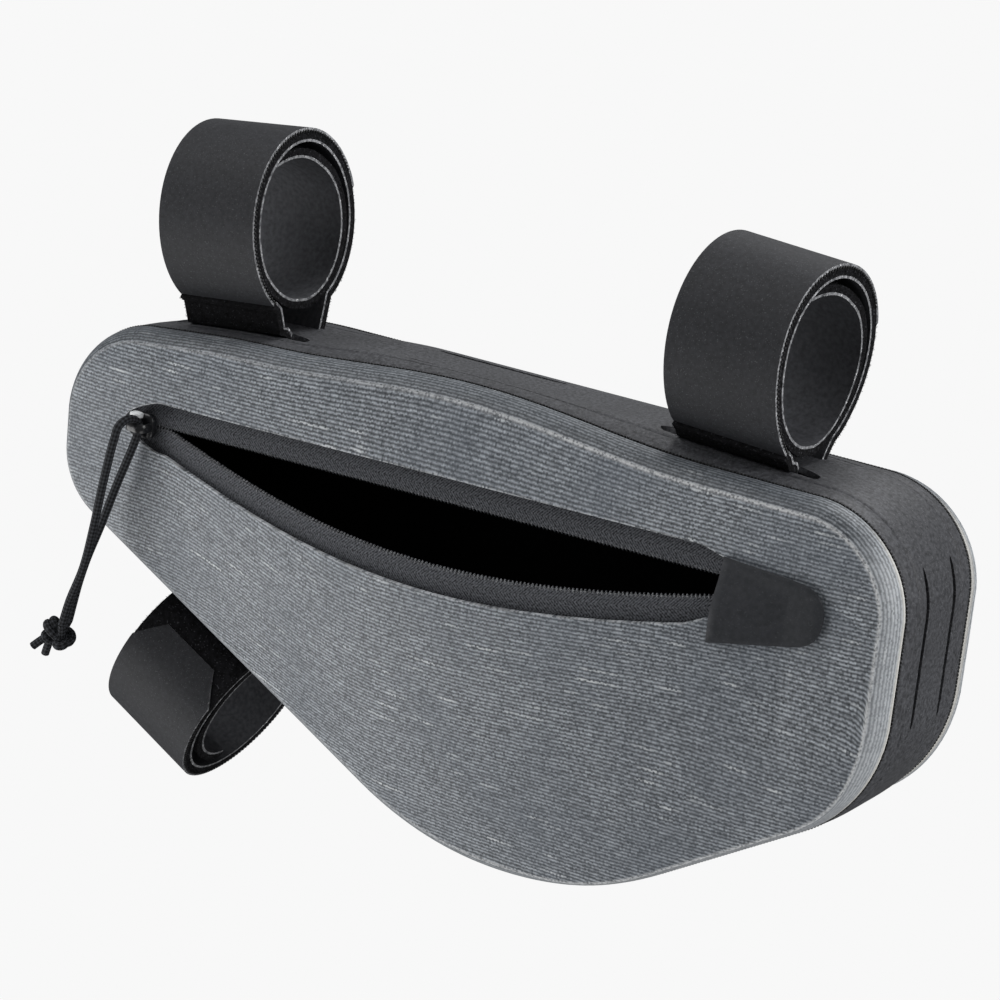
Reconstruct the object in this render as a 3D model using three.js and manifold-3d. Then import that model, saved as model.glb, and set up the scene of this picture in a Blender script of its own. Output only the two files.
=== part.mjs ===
// Bicycle frame bag: a flat, triangular pouch of laminated cloth that hangs under a top tube by
// hook-and-loop straps, with its zip open. Millimetres. +X runs to the deep end of the bag, +Y to
// its back and +Z up. The origin lies on the crown of the edge band, where the tube rests.
import * as THREE from 'three';
import { mergeVertices } from 'three/addons/utils/BufferGeometryUtils.js';
import Module from 'manifold-3d';

// Walls and clearances
const CLOTH = 1.4;
const BAND_WALL = 1.6;
const TAPE_WALL = 1.0;
const STRAP_WALL = 1.5;
const GARAGE_WALL = 1.2;
const GAP = 0.3;

// The outline at the seams, counterclockwise from the front: corner points and rounding radii
const OUTLINE_CORNERS = [
  { corner: 'bottom', x: 27.3, z: -139.7, radius: 96.5 },
  { corner: 'lower right', x: 131.2, z: -74, radius: 42 },
  { corner: 'top right', x: 131.2, z: 0, radius: 27 },
  { corner: 'top bend', x: -75, z: 0, radius: 200 },
  { corner: 'top left', x: -136, z: -6, radius: 30 },
  { corner: 'lower left', x: -136, z: -56, radius: 22 },
];
const ARC_STEP = Math.PI / 20;
const LINE_STEP = 16;
const MIN_STEP = 2.5;

// The edge band across its width: a flat strip in the middle that falls away to the two seams
const BAND_HALF = 18;
const BAND_FLAT = 6.2;
const BAND_MARGIN = 13;
const TOP_CROWN = 3.6;
const END_CROWN = 0.8;
// The crown rises and falls again between these places along the top
const CROWN_RISE = { from: -70, to: -30 };
const CROWN_FALL = { from: 40, to: 120 };
const SLIT_Y = 7.4;
const SLIT_WIDTH = 2.4;
const SLIT_LENGTH = 42;

// Shoulder from each seam round to the ridge of the panel: inset from the outline, and distance
// out from the middle plane at the front and at the flatter back
const SHOULDER = [
  { inset: 0, front: BAND_HALF + 1.5 * GAP, back: BAND_HALF + 1.5 * GAP },
  { inset: 0.7, front: 21.8, back: 20.2 },
  { inset: 2.0, front: 24.2, back: 21.4 },
  { inset: 3.6, front: 25.2, back: 22.0 },
];
const RIDGE = SHOULDER[SHOULDER.length - 1];

// Face of each panel: how far it swells beyond its ridge
const FACE_CROWN = 3.2;
const LOWER_ROWS = 6;
const UPPER_ROWS = 3;
const MOUTH_STEPS = 22;
const END_STEPS = 6;

// The open zip: its closed line, its ends, and how far the lower lip sags down and out
const ZIP_Z = -26.4;
const ZIP_SLOPE = 0.025;
const MOUTH_LEFT = -110;
const MOUTH_RIGHT = 104;
const MOUTH_ROUND_LEFT = 12;
const MOUTH_TAPER_RIGHT = 26;
const SAG_LEFT = -95;
const LIP_DROP = 13;
const LIP_BULGE = 12;
const TAPE_SHOWN = 7.2;
const TAPE_WIDTH = 10.6;
const TAPE_DEPTH = CLOTH + GAP + 0.15;
const COIL_RADIUS = 0.6;
const COIL_OFFSET = 0.75;
const COIL_STEPS = 34;
const TAPE_OFFSET = COIL_OFFSET + COIL_RADIUS + GAP;

// The front seam is pushed up and back over the middle of the mouth
const SWELL_HALF = 74;
const SWELL_UP = 4.0;
const SWELL_BACK = 2.5;
// The back of the top left corner sits lower than its front
const DROOP = 6;
const DROOP_FROM = -95;
const DROOP_TO = -126;

// Straps: width, layers from the outside in, and where each turn lies on the roll
const STRAP_WIDTH = 33;
const HOOK_RADIUS = 26.3;
const LAYER_PITCH = 2.1;
const OUTER_TURN = HOOK_RADIUS - LAYER_PITCH;
const INNER_TURN = OUTER_TURN - LAYER_PITCH;
const ROLL_STEP = 15;
const ROLL_FOOT = 6;
const ROLL_SQUEEZE = 0.88;
const TIP_LENGTH = 9;
const TIP_SHARE = 0.42;
// A row for each strap: its middle on the outline, whether that is on the top (if not, it is rolled
// the other way), how far its roll stands off, its slack under the band, the angle that its hook tape
// ends at, how it tilts with the band's fall, and how far its roll is turned at its far side
const STRAPS = [
  { name: 'left', x: -86, top: true, stand: 6, slack: 1.8, end: -272, tilt: 0, yaw: 0 },
  { name: 'right', x: 74.5, top: true, stand: 2.7, slack: 0.4, end: -272, tilt: -2.7, yaw: -6 },
  { name: 'lower', x: -82.5, top: false, stand: 3, slack: 0, end: -312, tilt: 0, yaw: 0 },
];
// Turns of the loop tape: the angles that it runs between and its radius at each. The stub's is apart.
const STUB = { from: -36, to: -31, start: HOOK_RADIUS, finish: HOOK_RADIUS };
const LOOP_TURNS = [
  { from: 30, to: 300, start: OUTER_TURN, finish: OUTER_TURN },
  { from: 313, to: 352, start: OUTER_TURN - 0.6, finish: INNER_TURN },
  { from: 367, to: 540, start: INNER_TURN, finish: INNER_TURN },
];
// Bends of the loop tape between its stub and its turns: by the front slit (-1) or the back one (1),
// how far in from it towards the middle of the band, and how far out from the band's outside or from
// the tape's own run under the band
const LOOP_BENDS = [
  { slit: -1, inward: -3.0, face: 'outside', out: 1.3 },
  { slit: -1, inward: -0.9, face: 'outside', out: 0.85 },
  { slit: -1, inward: 0, face: 'outside', out: -0.2 },
  { slit: -1, inward: 0, face: 'under', out: 1.0 },
  { slit: -1, inward: 0.9, face: 'under', out: 0 },
  { slit: 1, inward: 0.9, face: 'under', out: 0 },
  { slit: 1, inward: 0, face: 'under', out: 1.0 },
  { slit: 1, inward: 0, face: 'outside', out: -0.2 },
  { slit: 1, inward: -0.6, face: 'outside', out: 1.2 },
];
const HOOK_FROM = -37.5;
// Slit pairs with no strap through them: one in the top and one in the right end
const SPARE_SLIT_TOP_X = -8;
const SPARE_SLIT_END_Z = -35;

// Slider, pull cord and knot
const SLIDER_X = -102.5;
const SLIDER_LENGTH = 8;
const SLIDER_HEIGHT = 6.4;
const SLIDER_THICK = 2.4;
const SLIDER_PROUD = 1.1;
const SLIDER_ROUND = 2.2;
const BRIDGE_LEG = 1.4;
const BRIDGE_HOLE = 4.4;
const BRIDGE_RISE = 2.8;
const BRIDGE_WIDTH = 2.6;
const BRIDGE_ROUND = 2;
const HOLE_ROUND = 1;
const CORD_RADIUS = 1.1;
const CORD_SIDES = 8;
const CORD_STEPS = 15;
const KNOT_RADIUS = 4.9;
const KNOT_SIDES = 14;
const KNOT_RINGS = 10;
const KNOT_CENTRE = new THREE.Vector3(-123.8, -37, -95.4);
const KNOT_TAILS = [
  { x: -127.6, y: -38.2, z: -101.0 },
  { x: -124.2, y: -36.4, z: -103.2 },
];

// The garage patch over the zip's right end
const GARAGE_LEFT = 85;
const GARAGE_RIGHT = 114;
const GARAGE_MIDDLE = { left: -29, right: -27.4 };
const GARAGE_HALF = { left: 10.8, right: 7.6 };
const GARAGE_BLUNT = 6;
const GARAGE_RISE = GAP + 0.2;
const GARAGE_COLUMNS = 10;
const GARAGE_ROWS = 6;

const degrees = THREE.MathUtils.degToRad;
const clamp = THREE.MathUtils.clamp;

// An open sheet of triangles that shares its points, and becomes a solid wall
class Sheet {
  points = [];
  faces = [];
  lookup = new Map();

  point(x, y, z) {
    const key = [x, y, z].map((value) => Math.round(value * 1e4)).join();
    if (!this.lookup.has(key)) {
      this.lookup.set(key, this.points.length);
      this.points.push(new THREE.Vector3(x, y, z));
    }
    return this.lookup.get(key);
  }

  triangle(a, b, c) {
    if (a !== b && b !== c && c !== a) {
      this.faces.push([a, b, c]);
    }
  }

  // Rows of points joined by quads, except where leftOut says that there is a hole
  grid(rows, flip = false, leftOut = () => false) {
    for (let r = 0; r + 1 < rows.length; r += 1) {
      for (let c = 0; c + 1 < rows[r].length; c += 1) {
        if (leftOut(r, c)) {
          continue;
        }
        const quad = [rows[r][c], rows[r][c + 1], rows[r + 1][c + 1], rows[r + 1][c]];
        if (flip) {
          quad.reverse();
        }
        this.triangle(quad[0], quad[1], quad[2]);
        this.triangle(quad[0], quad[2], quad[3]);
      }
    }
  }

  normals() {
    const normals = this.points.map(() => new THREE.Vector3());
    for (const face of this.faces) {
      const [a, b, c] = face.map((index) => this.points[index]);
      const area = b.clone().sub(a).cross(c.clone().sub(a));
      face.forEach((index) => normals[index].add(area));
    }
    return normals.map((normal) => normal.normalize());
  }

  // The wall reaches rise out from the sheet, and is thickness deep from there inwards
  solid(thickness, rise = 0) {
    const normals = this.normals();
    const count = this.points.length;
    const skin = this.points.map((point, i) => point.clone().addScaledVector(normals[i], rise));
    const lining = this.points.map((point, i) => point.clone().addScaledVector(normals[i], rise - thickness));
    const index = [];
    const edges = new Set();
    for (const [a, b, c] of this.faces) {
      index.push(a, b, c, c + count, b + count, a + count);
      edges.add(`${a},${b}`).add(`${b},${c}`).add(`${c},${a}`);
    }
    for (const edge of edges) {
      const [a, b] = edge.split(',').map(Number);
      if (!edges.has(`${b},${a}`)) {
        index.push(b, a, a + count, b, a + count, b + count);
      }
    }
    const positions = [...skin, ...lining].flatMap((point) => point.toArray());
    const geometry = new THREE.BufferGeometry();
    geometry.setAttribute('position', new THREE.Float32BufferAttribute(positions, 3));
    geometry.setIndex(index);
    geometry.computeVertexNormals();
    return geometry;
  }
}

// The outline as arcs joined by lines, each with the length along the outline where it starts
function outlineSegments(corners) {
  const arcs = corners.map((corner, i) => {
    const before = corners.at(i - 1);
    const after = corners[(i + 1) % corners.length];
    const point = new THREE.Vector2(corner.x, corner.z);
    const incoming = point.clone().sub(new THREE.Vector2(before.x, before.z)).normalize();
    const outgoing = new THREE.Vector2(after.x, after.z).sub(point).normalize();
    const turn = Math.acos(incoming.dot(outgoing));
    const normal = new THREE.Vector2(incoming.y, -incoming.x);
    const centre = point.clone()
      .addScaledVector(incoming, -corner.radius * Math.tan(turn / 2))
      .addScaledVector(normal, -corner.radius);
    return { name: corner.corner, centre, radius: corner.radius, angle: normal.angle(), turn };
  });
  const onArc = (arc, angle) => new THREE.Vector2(
    arc.centre.x + arc.radius * Math.cos(angle),
    arc.centre.y + arc.radius * Math.sin(angle),
  );
  const segments = [];
  let start = 0;
  arcs.forEach((arc, i) => {
    const next = arcs[(i + 1) % arcs.length];
    segments.push({ ...arc, start, length: arc.radius * arc.turn });
    start += arc.radius * arc.turn;
    const from = onArc(arc, arc.angle + arc.turn);
    const to = onArc(next, next.angle);
    const along = to.clone().sub(from).normalize();
    segments.push({ name: `after ${arc.name}`, from, along, start, length: from.distanceTo(to) });
    start += from.distanceTo(to);
  });
  return segments;
}

const SEGMENTS = outlineSegments(OUTLINE_CORNERS);
const OUTLINE_LENGTH = SEGMENTS.at(-1).start + SEGMENTS.at(-1).length;
const segmentNamed = (name) => SEGMENTS.find((segment) => segment.name === name);

// The point and outward normal at a length along the outline
function outlineAt(length) {
  const s = ((length % OUTLINE_LENGTH) + OUTLINE_LENGTH) % OUTLINE_LENGTH;
  const segment = SEGMENTS.findLast((candidate) => candidate.start <= s);
  const local = s - segment.start;
  if (segment.radius) {
    const angle = segment.angle + local / segment.radius;
    const [nx, nz] = [Math.cos(angle), Math.sin(angle)];
    return { x: segment.centre.x + segment.radius * nx, z: segment.centre.y + segment.radius * nz, nx, nz };
  }
  const { from, along } = segment;
  return { x: from.x + along.x * local, z: from.y + along.y * local, nx: along.y, nz: -along.x };
}

// The two ends of the bag, where its outline stands upright
const RIGHT_LINE = segmentNamed('after lower right');
const LEFT_LINE = segmentNamed('after top left');
const RIGHT_END = RIGHT_LINE.start + RIGHT_LINE.length / 2;
const LEFT_END = LEFT_LINE.start + LEFT_LINE.length / 2;

// The length along the outline where its inset copy crosses x, on its upper or lower side
function lengthAtX(x, upper, inset = 0) {
  let [low, high] = upper ? [RIGHT_END, LEFT_END] : [LEFT_END - OUTLINE_LENGTH, RIGHT_END];
  for (let i = 0; i < 48; i += 1) {
    const middle = (low + high) / 2;
    const place = outlineAt(middle);
    if ((place.x - place.nx * inset > x) === upper) {
      low = middle;
    } else {
      high = middle;
    }
  }
  return (low + high) / 2;
}

function ridgeAt(x, upper) {
  const place = outlineAt(lengthAtX(x, upper, RIDGE.inset));
  return { ...place, x, z: place.z - place.nz * RIDGE.inset };
}

const RIDGE_LEFT = outlineAt(LEFT_END).x + RIDGE.inset;
const RIDGE_RIGHT = outlineAt(RIGHT_END).x - RIDGE.inset;

// Columns across the bag, closer together at its ends and at the ends of the mouth
function mouthColumns() {
  const [middle, half] = [(MOUTH_LEFT + MOUTH_RIGHT) / 2, (MOUTH_RIGHT - MOUTH_LEFT) / 2];
  return Array.from({ length: MOUTH_STEPS + 1 }, (_, i) => (
    middle - half * Math.cos((Math.PI * i) / MOUTH_STEPS)
  ));
}

function panelColumns() {
  const ends = Array.from({ length: END_STEPS }, (_, i) => Math.cos((Math.PI * i) / (2 * END_STEPS)));
  const left = ends.map((part) => MOUTH_LEFT - (MOUTH_LEFT - RIDGE_LEFT) * part);
  const right = ends.map((part) => MOUTH_RIGHT + (RIDGE_RIGHT - MOUTH_RIGHT) * part).reverse();
  return [...left, ...mouthColumns(), ...right];
}

const zipZ = (x) => ZIP_Z + ZIP_SLOPE * x;

// 0 at the ends of the mouth, 1 where the lower lip sags most
function sag(x) {
  const share = clamp((x - SAG_LEFT) / (MOUTH_RIGHT - SAG_LEFT), 0, 1);
  return Math.sin(Math.PI * share);
}

// How far the cloth's edge stands back from the zip, from 0 at the mouth's ends to the shown tape
function tapeShown(x) {
  const left = Math.sqrt(clamp((x - MOUTH_LEFT) / MOUTH_ROUND_LEFT, 0, 1));
  const right = clamp((MOUTH_RIGHT - x) / MOUTH_TAPER_RIGHT, 0, 1);
  return TAPE_SHOWN * Math.min(left, right);
}

const lipZ = (x) => zipZ(x) - LIP_DROP * sag(x);

// The cloth's edge above or below the mouth. Past the mouth's ends the two are one line.
function mouthEdge(x, upper) {
  const inside = clamp(x, MOUTH_LEFT, MOUTH_RIGHT);
  if (inside === x) {
    return upper ? zipZ(x) + tapeShown(x) : lipZ(x) - tapeShown(x);
  }
  const [low, high] = [ridgeAt(inside, false).z, ridgeAt(inside, true).z];
  const share = (zipZ(inside) - low) / (high - low);
  return THREE.MathUtils.lerp(ridgeAt(x, false).z, ridgeAt(x, true).z, share);
}

// How far the face of a panel swells beyond its ridge. The belly is the front's bulge below the mouth.
function faceSwell(x, z, belly = 0) {
  const [low, high] = [ridgeAt(x, false).z, ridgeAt(x, true).z];
  const up = high - low > 1e-6 ? (z - low) / (high - low) : 0.5;
  const along = (x - RIDGE_LEFT) / (RIDGE_RIGHT - RIDGE_LEFT);
  const crown = FACE_CROWN * (1 - (2 * up - 1) ** 4) * (1 - (2 * along - 1) ** 6);
  const rise = belly > 0 ? clamp((z - low) / (mouthEdge(x, false) - low), 0, 1) : 0;
  return crown + belly * LIP_BULGE * sag(x) * Math.sin((rise * Math.PI) / 2) ** 1.5;
}

const frontOut = (x, z, belly = 0) => RIDGE.front + faceSwell(x, z, belly);

// How far the front seam is pushed at x
function swell(x) {
  const share = clamp(x / SWELL_HALF, -1, 1);
  return Math.cos((share * Math.PI) / 2) ** 2;
}

// How far the back seam sits below the front one at x
const droop = (x) => DROOP * THREE.MathUtils.smoothstep(-x, -DROOP_FROM, -DROOP_TO);

// A grey wall: its face, split at the mouth, and its shoulder back to the seam
function panel(front) {
  const sheet = new Sheet();
  const side = front ? 'front' : 'back';
  const columns = panelColumns();
  const place = (x, z, out, pushed) => {
    if (front) {
      const push = pushed * swell(x);
      return sheet.point(x, push * SWELL_BACK - out, z + push * SWELL_UP);
    }
    return sheet.point(x, out, z - pushed * droop(x));
  };
  const split = (x, upper) => {
    const inMouth = x > MOUTH_LEFT && x < MOUTH_RIGHT;
    return front || !inMouth ? mouthEdge(x, upper) : zipZ(x);
  };
  const faceRows = (count, upper) => Array.from({ length: count + 1 }, (_, k) => columns.map((x) => {
    const share = k / count;
    const z = upper
      ? THREE.MathUtils.lerp(split(x, true), ridgeAt(x, true).z, share)
      : THREE.MathUtils.lerp(ridgeAt(x, false).z, split(x, false), share);
    const pushed = upper ? share * Math.max(0, ridgeAt(x, true).nz) : 0;
    return place(x, z, RIDGE[side] + faceSwell(x, z, front && !upper ? 1 : 0), pushed);
  }));
  sheet.grid(faceRows(LOWER_ROWS, false), !front);
  sheet.grid(faceRows(UPPER_ROWS, true), !front);

  const lower = columns.map((x) => ridgeAt(x, false));
  const upper = columns.slice(1, -1).reverse().map((x) => ridgeAt(x, true));
  const loop = [...lower, ...upper, lower[0]];
  const rings = SHOULDER.map((row) => loop.map((ridge) => {
    const reach = RIDGE.inset - row.inset;
    return place(ridge.x + ridge.nx * reach, ridge.z + ridge.nz * reach, row[side], Math.max(0, ridge.nz));
  }));
  sheet.grid(rings, !front);
  return sheet.solid(CLOTH);
}

// Lengths along the outline for a strip's cross sections, with the marks among them
function stations(from, to, marks = []) {
  const fixed = [from, to, ...marks];
  const list = [...fixed];
  for (const segment of SEGMENTS) {
    const step = segment.radius ? segment.radius * ARC_STEP : LINE_STEP;
    const steps = Math.ceil(segment.length / step);
    for (let i = 0; i < steps; i += 1) {
      const s = segment.start + (segment.length * i) / steps;
      if (s > from && s < to && fixed.every((mark) => Math.abs(mark - s) > MIN_STEP)) {
        list.push(s);
      }
    }
  }
  return list.sort((a, b) => a - b);
}

// How far the band stands out from its seams at a place on the outline
function crownAt({ x, nz }) {
  const rise = THREE.MathUtils.smoothstep(x, CROWN_RISE.from, CROWN_RISE.to);
  const fall = THREE.MathUtils.smoothstep(x, CROWN_FALL.from, CROWN_FALL.to);
  return END_CROWN + (TOP_CROWN - END_CROWN) * rise * (1 - fall) * Math.max(0, nz) ** 2;
}

function bandOut(crown, y) {
  const share = clamp((Math.abs(y) - BAND_FLAT) / (BAND_HALF - BAND_FLAT), 0, 1);
  return crown * (1 - share * share);
}

const STRAP_MIDDLES = STRAPS.map(({ x, top }) => {
  const s = lengthAtX(x, top);
  return s < 0 ? s + OUTLINE_LENGTH : s;
});

const SLIT_MIDDLES = [
  ...STRAP_MIDDLES,
  lengthAtX(SPARE_SLIT_TOP_X, true),
  RIGHT_END + SPARE_SLIT_END_Z - outlineAt(RIGHT_END).z,
];

// The band runs the whole way round between the two seams
function edgeBand() {
  const seam = BAND_HALF - GAP / 2;
  const [slitIn, slitOut] = [SLIT_Y - SLIT_WIDTH / 2, SLIT_Y + SLIT_WIDTH / 2];
  const half = [slitIn, slitOut, BAND_MARGIN, seam];
  const across = [...half.toReversed().map((y) => -y), ...half];
  const slitStrips = [across.indexOf(-slitOut), across.indexOf(slitIn)];
  const slitEnds = SLIT_MIDDLES.flatMap((s) => [s - SLIT_LENGTH / 2, s + SLIT_LENGTH / 2]);
  const lengths = stations(0, OUTLINE_LENGTH, slitEnds);
  const sheet = new Sheet();
  const rows = lengths.map((s) => {
    const place = outlineAt(s);
    const up = Math.max(0, place.nz);
    return across.map((y) => {
      const out = bandOut(crownAt(place), y);
      const push = up * swell(place.x) * clamp((-y - BAND_FLAT) / (BAND_HALF - BAND_FLAT), 0, 1);
      const drop = up * droop(place.x) * clamp((y + BAND_HALF) / (2 * BAND_HALF), 0, 1);
      return sheet.point(
        place.x + place.nx * out,
        y + push * SWELL_BACK,
        place.z + place.nz * out + push * SWELL_UP - drop,
      );
    });
  });
  const inSlit = (r, c) => slitStrips.includes(c)
    && SLIT_MIDDLES.some((middle) => Math.abs((lengths[r] + lengths[r + 1]) / 2 - middle) < SLIT_LENGTH / 2);
  sheet.grid(rows, false, inSlit);
  return sheet.solid(BAND_WALL);
}

// A point on a zip tape behind the cloth, at an offset from the zip's edge
function tapeRow(x, upper, offset) {
  const z = upper ? zipZ(x) + offset : lipZ(x) - offset;
  return { x, y: -(frontOut(x, z, upper ? 0 : 1) - TAPE_DEPTH), z };
}

// A zip tape from its coil to its tucked-in edge
function zipTape(upper) {
  const sheet = new Sheet();
  const offsets = [TAPE_OFFSET, TAPE_SHOWN, TAPE_WIDTH];
  const rows = offsets.map((offset) => mouthColumns().map((x) => {
    const place = tapeRow(x, upper, offset);
    return sheet.point(place.x, place.y, place.z);
  }));
  sheet.grid(rows, !upper);
  return sheet.solid(TAPE_WALL);
}

function sectionCircle(radius, sides) {
  const corners = Array.from({ length: sides }, (_, i) => {
    const angle = (2 * Math.PI * (i + 0.5)) / sides;
    return new THREE.Vector2(radius * Math.cos(angle), radius * Math.sin(angle));
  });
  return new THREE.Shape(corners);
}

function tube(path, radius, steps) {
  return new THREE.ExtrudeGeometry(sectionCircle(radius, CORD_SIDES), { steps, extrudePath: path });
}

function zipCoil(upper) {
  const points = mouthColumns().map((x) => {
    const place = tapeRow(x, upper, COIL_OFFSET);
    return new THREE.Vector3(place.x, place.y + TAPE_WALL / 2, place.z);
  });
  return tube(new THREE.CatmullRomCurve3(points), COIL_RADIUS, COIL_STEPS);
}

// A smooth patch over the zip's end, with a straight left edge and a rounded right end
function zipGarage() {
  const sheet = new Sheet();
  const rows = Array.from({ length: GARAGE_ROWS + 1 }, (_, r) => (
    Array.from({ length: GARAGE_COLUMNS + 1 }, (_unused, c) => {
      const share = Math.sin((Math.PI * c) / (2 * GARAGE_COLUMNS));
      const x = THREE.MathUtils.lerp(GARAGE_LEFT, GARAGE_RIGHT, share);
      const middle = THREE.MathUtils.lerp(GARAGE_MIDDLE.left, GARAGE_MIDDLE.right, share);
      const taper = THREE.MathUtils.lerp(GARAGE_HALF.left, GARAGE_HALF.right, share);
      const half = taper * Math.sqrt(1 - share ** GARAGE_BLUNT);
      const z = middle + half * ((2 * r) / GARAGE_ROWS - 1);
      const [low, high] = [mouthEdge(x, false), mouthEdge(x, true)];
      const belly = high > low ? THREE.MathUtils.smoothstep(-z, -high, -low) : 0;
      return sheet.point(x, -(frontOut(x, z, belly) + GARAGE_RISE + GARAGE_WALL), z);
    })
  ));
  sheet.grid(rows);
  return sheet.solid(GARAGE_WALL);
}

// Solids joined into one
const wasm = await Module();
wasm.setup();

function toManifold(geometry) {
  const bare = geometry.clone();
  bare.deleteAttribute('normal');
  bare.deleteAttribute('uv');
  const merged = mergeVertices(bare, 1e-4);
  return new wasm.Manifold(new wasm.Mesh({
    numProp: 3,
    vertProperties: merged.attributes.position.array,
    triVerts: Uint32Array.from(merged.index.array),
  }));
}

function joined(geometries) {
  const whole = geometries.map(toManifold).reduce((sum, piece) => sum.add(piece));
  const mesh = whole.getMesh();
  const geometry = new THREE.BufferGeometry();
  geometry.setAttribute('position', new THREE.Float32BufferAttribute(mesh.vertProperties, 3));
  geometry.setIndex(Array.from(mesh.triVerts));
  geometry.computeVertexNormals();
  return geometry;
}

function roundedRectangle(width, height, radius) {
  const [x, y] = [width / 2, height / 2];
  const shape = new THREE.Shape();
  shape.absarc(x - radius, y - radius, radius, 0, Math.PI / 2);
  shape.absarc(radius - x, y - radius, radius, Math.PI / 2, Math.PI);
  shape.absarc(radius - x, radius - y, radius, Math.PI, 1.5 * Math.PI);
  shape.absarc(x - radius, radius - y, radius, 1.5 * Math.PI, 2 * Math.PI);
  return shape;
}

// The slider's plate lies in the mouth, and its bridge stands out in front with a hole down through it
const SLIDER_Z = zipZ(SLIDER_X);
const SLIDER_FACE = -(frontOut(SLIDER_X, SLIDER_Z) + SLIDER_PROUD);

function zipSlider() {
  const plate = new THREE.ExtrudeGeometry(roundedRectangle(SLIDER_LENGTH, SLIDER_HEIGHT, SLIDER_ROUND), {
    depth: SLIDER_THICK,
    bevelEnabled: false,
    curveSegments: 4,
  });
  plate.rotateX(Math.PI / 2).translate(SLIDER_X, SLIDER_FACE + SLIDER_THICK, SLIDER_Z);
  const outerLength = BRIDGE_HOLE + 2 * BRIDGE_LEG;
  const outerRise = BRIDGE_RISE + BRIDGE_LEG;
  const arch = roundedRectangle(outerLength, 2 * outerRise, BRIDGE_ROUND);
  arch.holes.push(roundedRectangle(BRIDGE_HOLE, 2 * BRIDGE_RISE, HOLE_ROUND));
  const bridge = new THREE.ExtrudeGeometry(arch, {
    depth: BRIDGE_WIDTH,
    bevelEnabled: false,
    curveSegments: 3,
  });
  bridge.translate(SLIDER_X, SLIDER_FACE, SLIDER_Z - BRIDGE_WIDTH / 2);
  const spare = new THREE.BoxGeometry(2 * outerLength, 2 * outerRise, 2 * BRIDGE_WIDTH);
  spare.translate(SLIDER_X, SLIDER_FACE + outerRise + SLIDER_THICK / 2, SLIDER_Z);
  const half = toManifold(bridge).subtract(toManifold(spare)).getMesh();
  const standing = new THREE.BufferGeometry();
  standing.setAttribute('position', new THREE.Float32BufferAttribute(half.vertProperties, 3));
  standing.setIndex(Array.from(half.triVerts));
  return joined([plate, standing]);
}

// The pull cord: up through the bridge and over it in front, and straight down from it behind
const HOLE_Y = SLIDER_FACE - BRIDGE_RISE / 2;
const LOOP_RADIUS = 4.2;
const CORD_FRONT = [
  { x: -102.5, y: HOLE_Y, z: SLIDER_Z + GAP / 2 },
  { x: -102.5, y: HOLE_Y + 0.05, z: SLIDER_Z + 1.8 },
  { x: -102.7, y: HOLE_Y - 0.3 * LOOP_RADIUS, z: SLIDER_Z + 4.1 },
  { x: -103.0, y: HOLE_Y - LOOP_RADIUS, z: SLIDER_Z + 5.2 },
  { x: -103.3, y: HOLE_Y - 1.75 * LOOP_RADIUS, z: SLIDER_Z + 3.2 },
  { x: -103.7, y: HOLE_Y - 2 * LOOP_RADIUS, z: SLIDER_Z - 1 },
  { x: -106.5, y: -39.1, z: -45.0 },
  { x: -109.3, y: -38.9, z: -59.5 },
  { x: -112.3, y: -38.6, z: -71.6 },
  { x: -116.8, y: -38.4, z: -82.8 },
];
const CORD_BACK = [
  { x: -102.5, y: HOLE_Y, z: SLIDER_Z - GAP / 2 },
  { x: -102.5, y: HOLE_Y, z: SLIDER_Z - 1.8 },
  { x: -103.4, y: HOLE_Y - 0.4, z: -34.4 },
  { x: -107.8, y: -31.8, z: -47.5 },
  { x: -111.7, y: -32.7, z: -59.9 },
  { x: -115.4, y: -33.5, z: -70.6 },
  { x: -117.6, y: -34.3, z: -78.0 },
  { x: -119.2, y: -34.8, z: -84.0 },
];

// A strand ends on the knot's surface, on the side of its centre that it comes in at
const KNOT_FRONT_SIDE = new THREE.Vector3(3.2, -1.9, 4.6);
const KNOT_BACK_SIDE = new THREE.Vector3(2.2, 2.1, 4.6);

function strand(route, side) {
  const points = route.map(({ x, y, z }) => new THREE.Vector3(x, y, z));
  points.push(side.clone().setLength(KNOT_RADIUS + GAP).add(KNOT_CENTRE));
  return tube(new THREE.CatmullRomCurve3(points), CORD_RADIUS, CORD_STEPS);
}

// The knot with its two cut tails
function cordKnot() {
  const ball = new THREE.SphereGeometry(KNOT_RADIUS, KNOT_SIDES, KNOT_RINGS);
  ball.translate(KNOT_CENTRE.x, KNOT_CENTRE.y, KNOT_CENTRE.z);
  const tails = KNOT_TAILS.map(({ x, y, z }) => {
    const path = new THREE.LineCurve3(KNOT_CENTRE, new THREE.Vector3(x, y, z));
    return tube(path, CORD_RADIUS, 1);
  });
  return joined([ball, ...tails]);
}

// Points on a turn of a strap's roll, a little narrower than it is tall: p across the band and q out
// from its seams. Angles start at the band and grow towards the back.
function turnPoints(centre, fromAngle, toAngle, fromRadius, toRadius) {
  const steps = Math.max(1, Math.round(Math.abs(toAngle - fromAngle) / ROLL_STEP));
  return Array.from({ length: steps + 1 }, (_, i) => {
    const angle = degrees(THREE.MathUtils.lerp(fromAngle, toAngle, i / steps));
    const radius = THREE.MathUtils.lerp(fromRadius, toRadius, i / steps);
    return { p: ROLL_SQUEEZE * radius * Math.sin(angle), q: centre - radius * Math.cos(angle) };
  });
}

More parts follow.
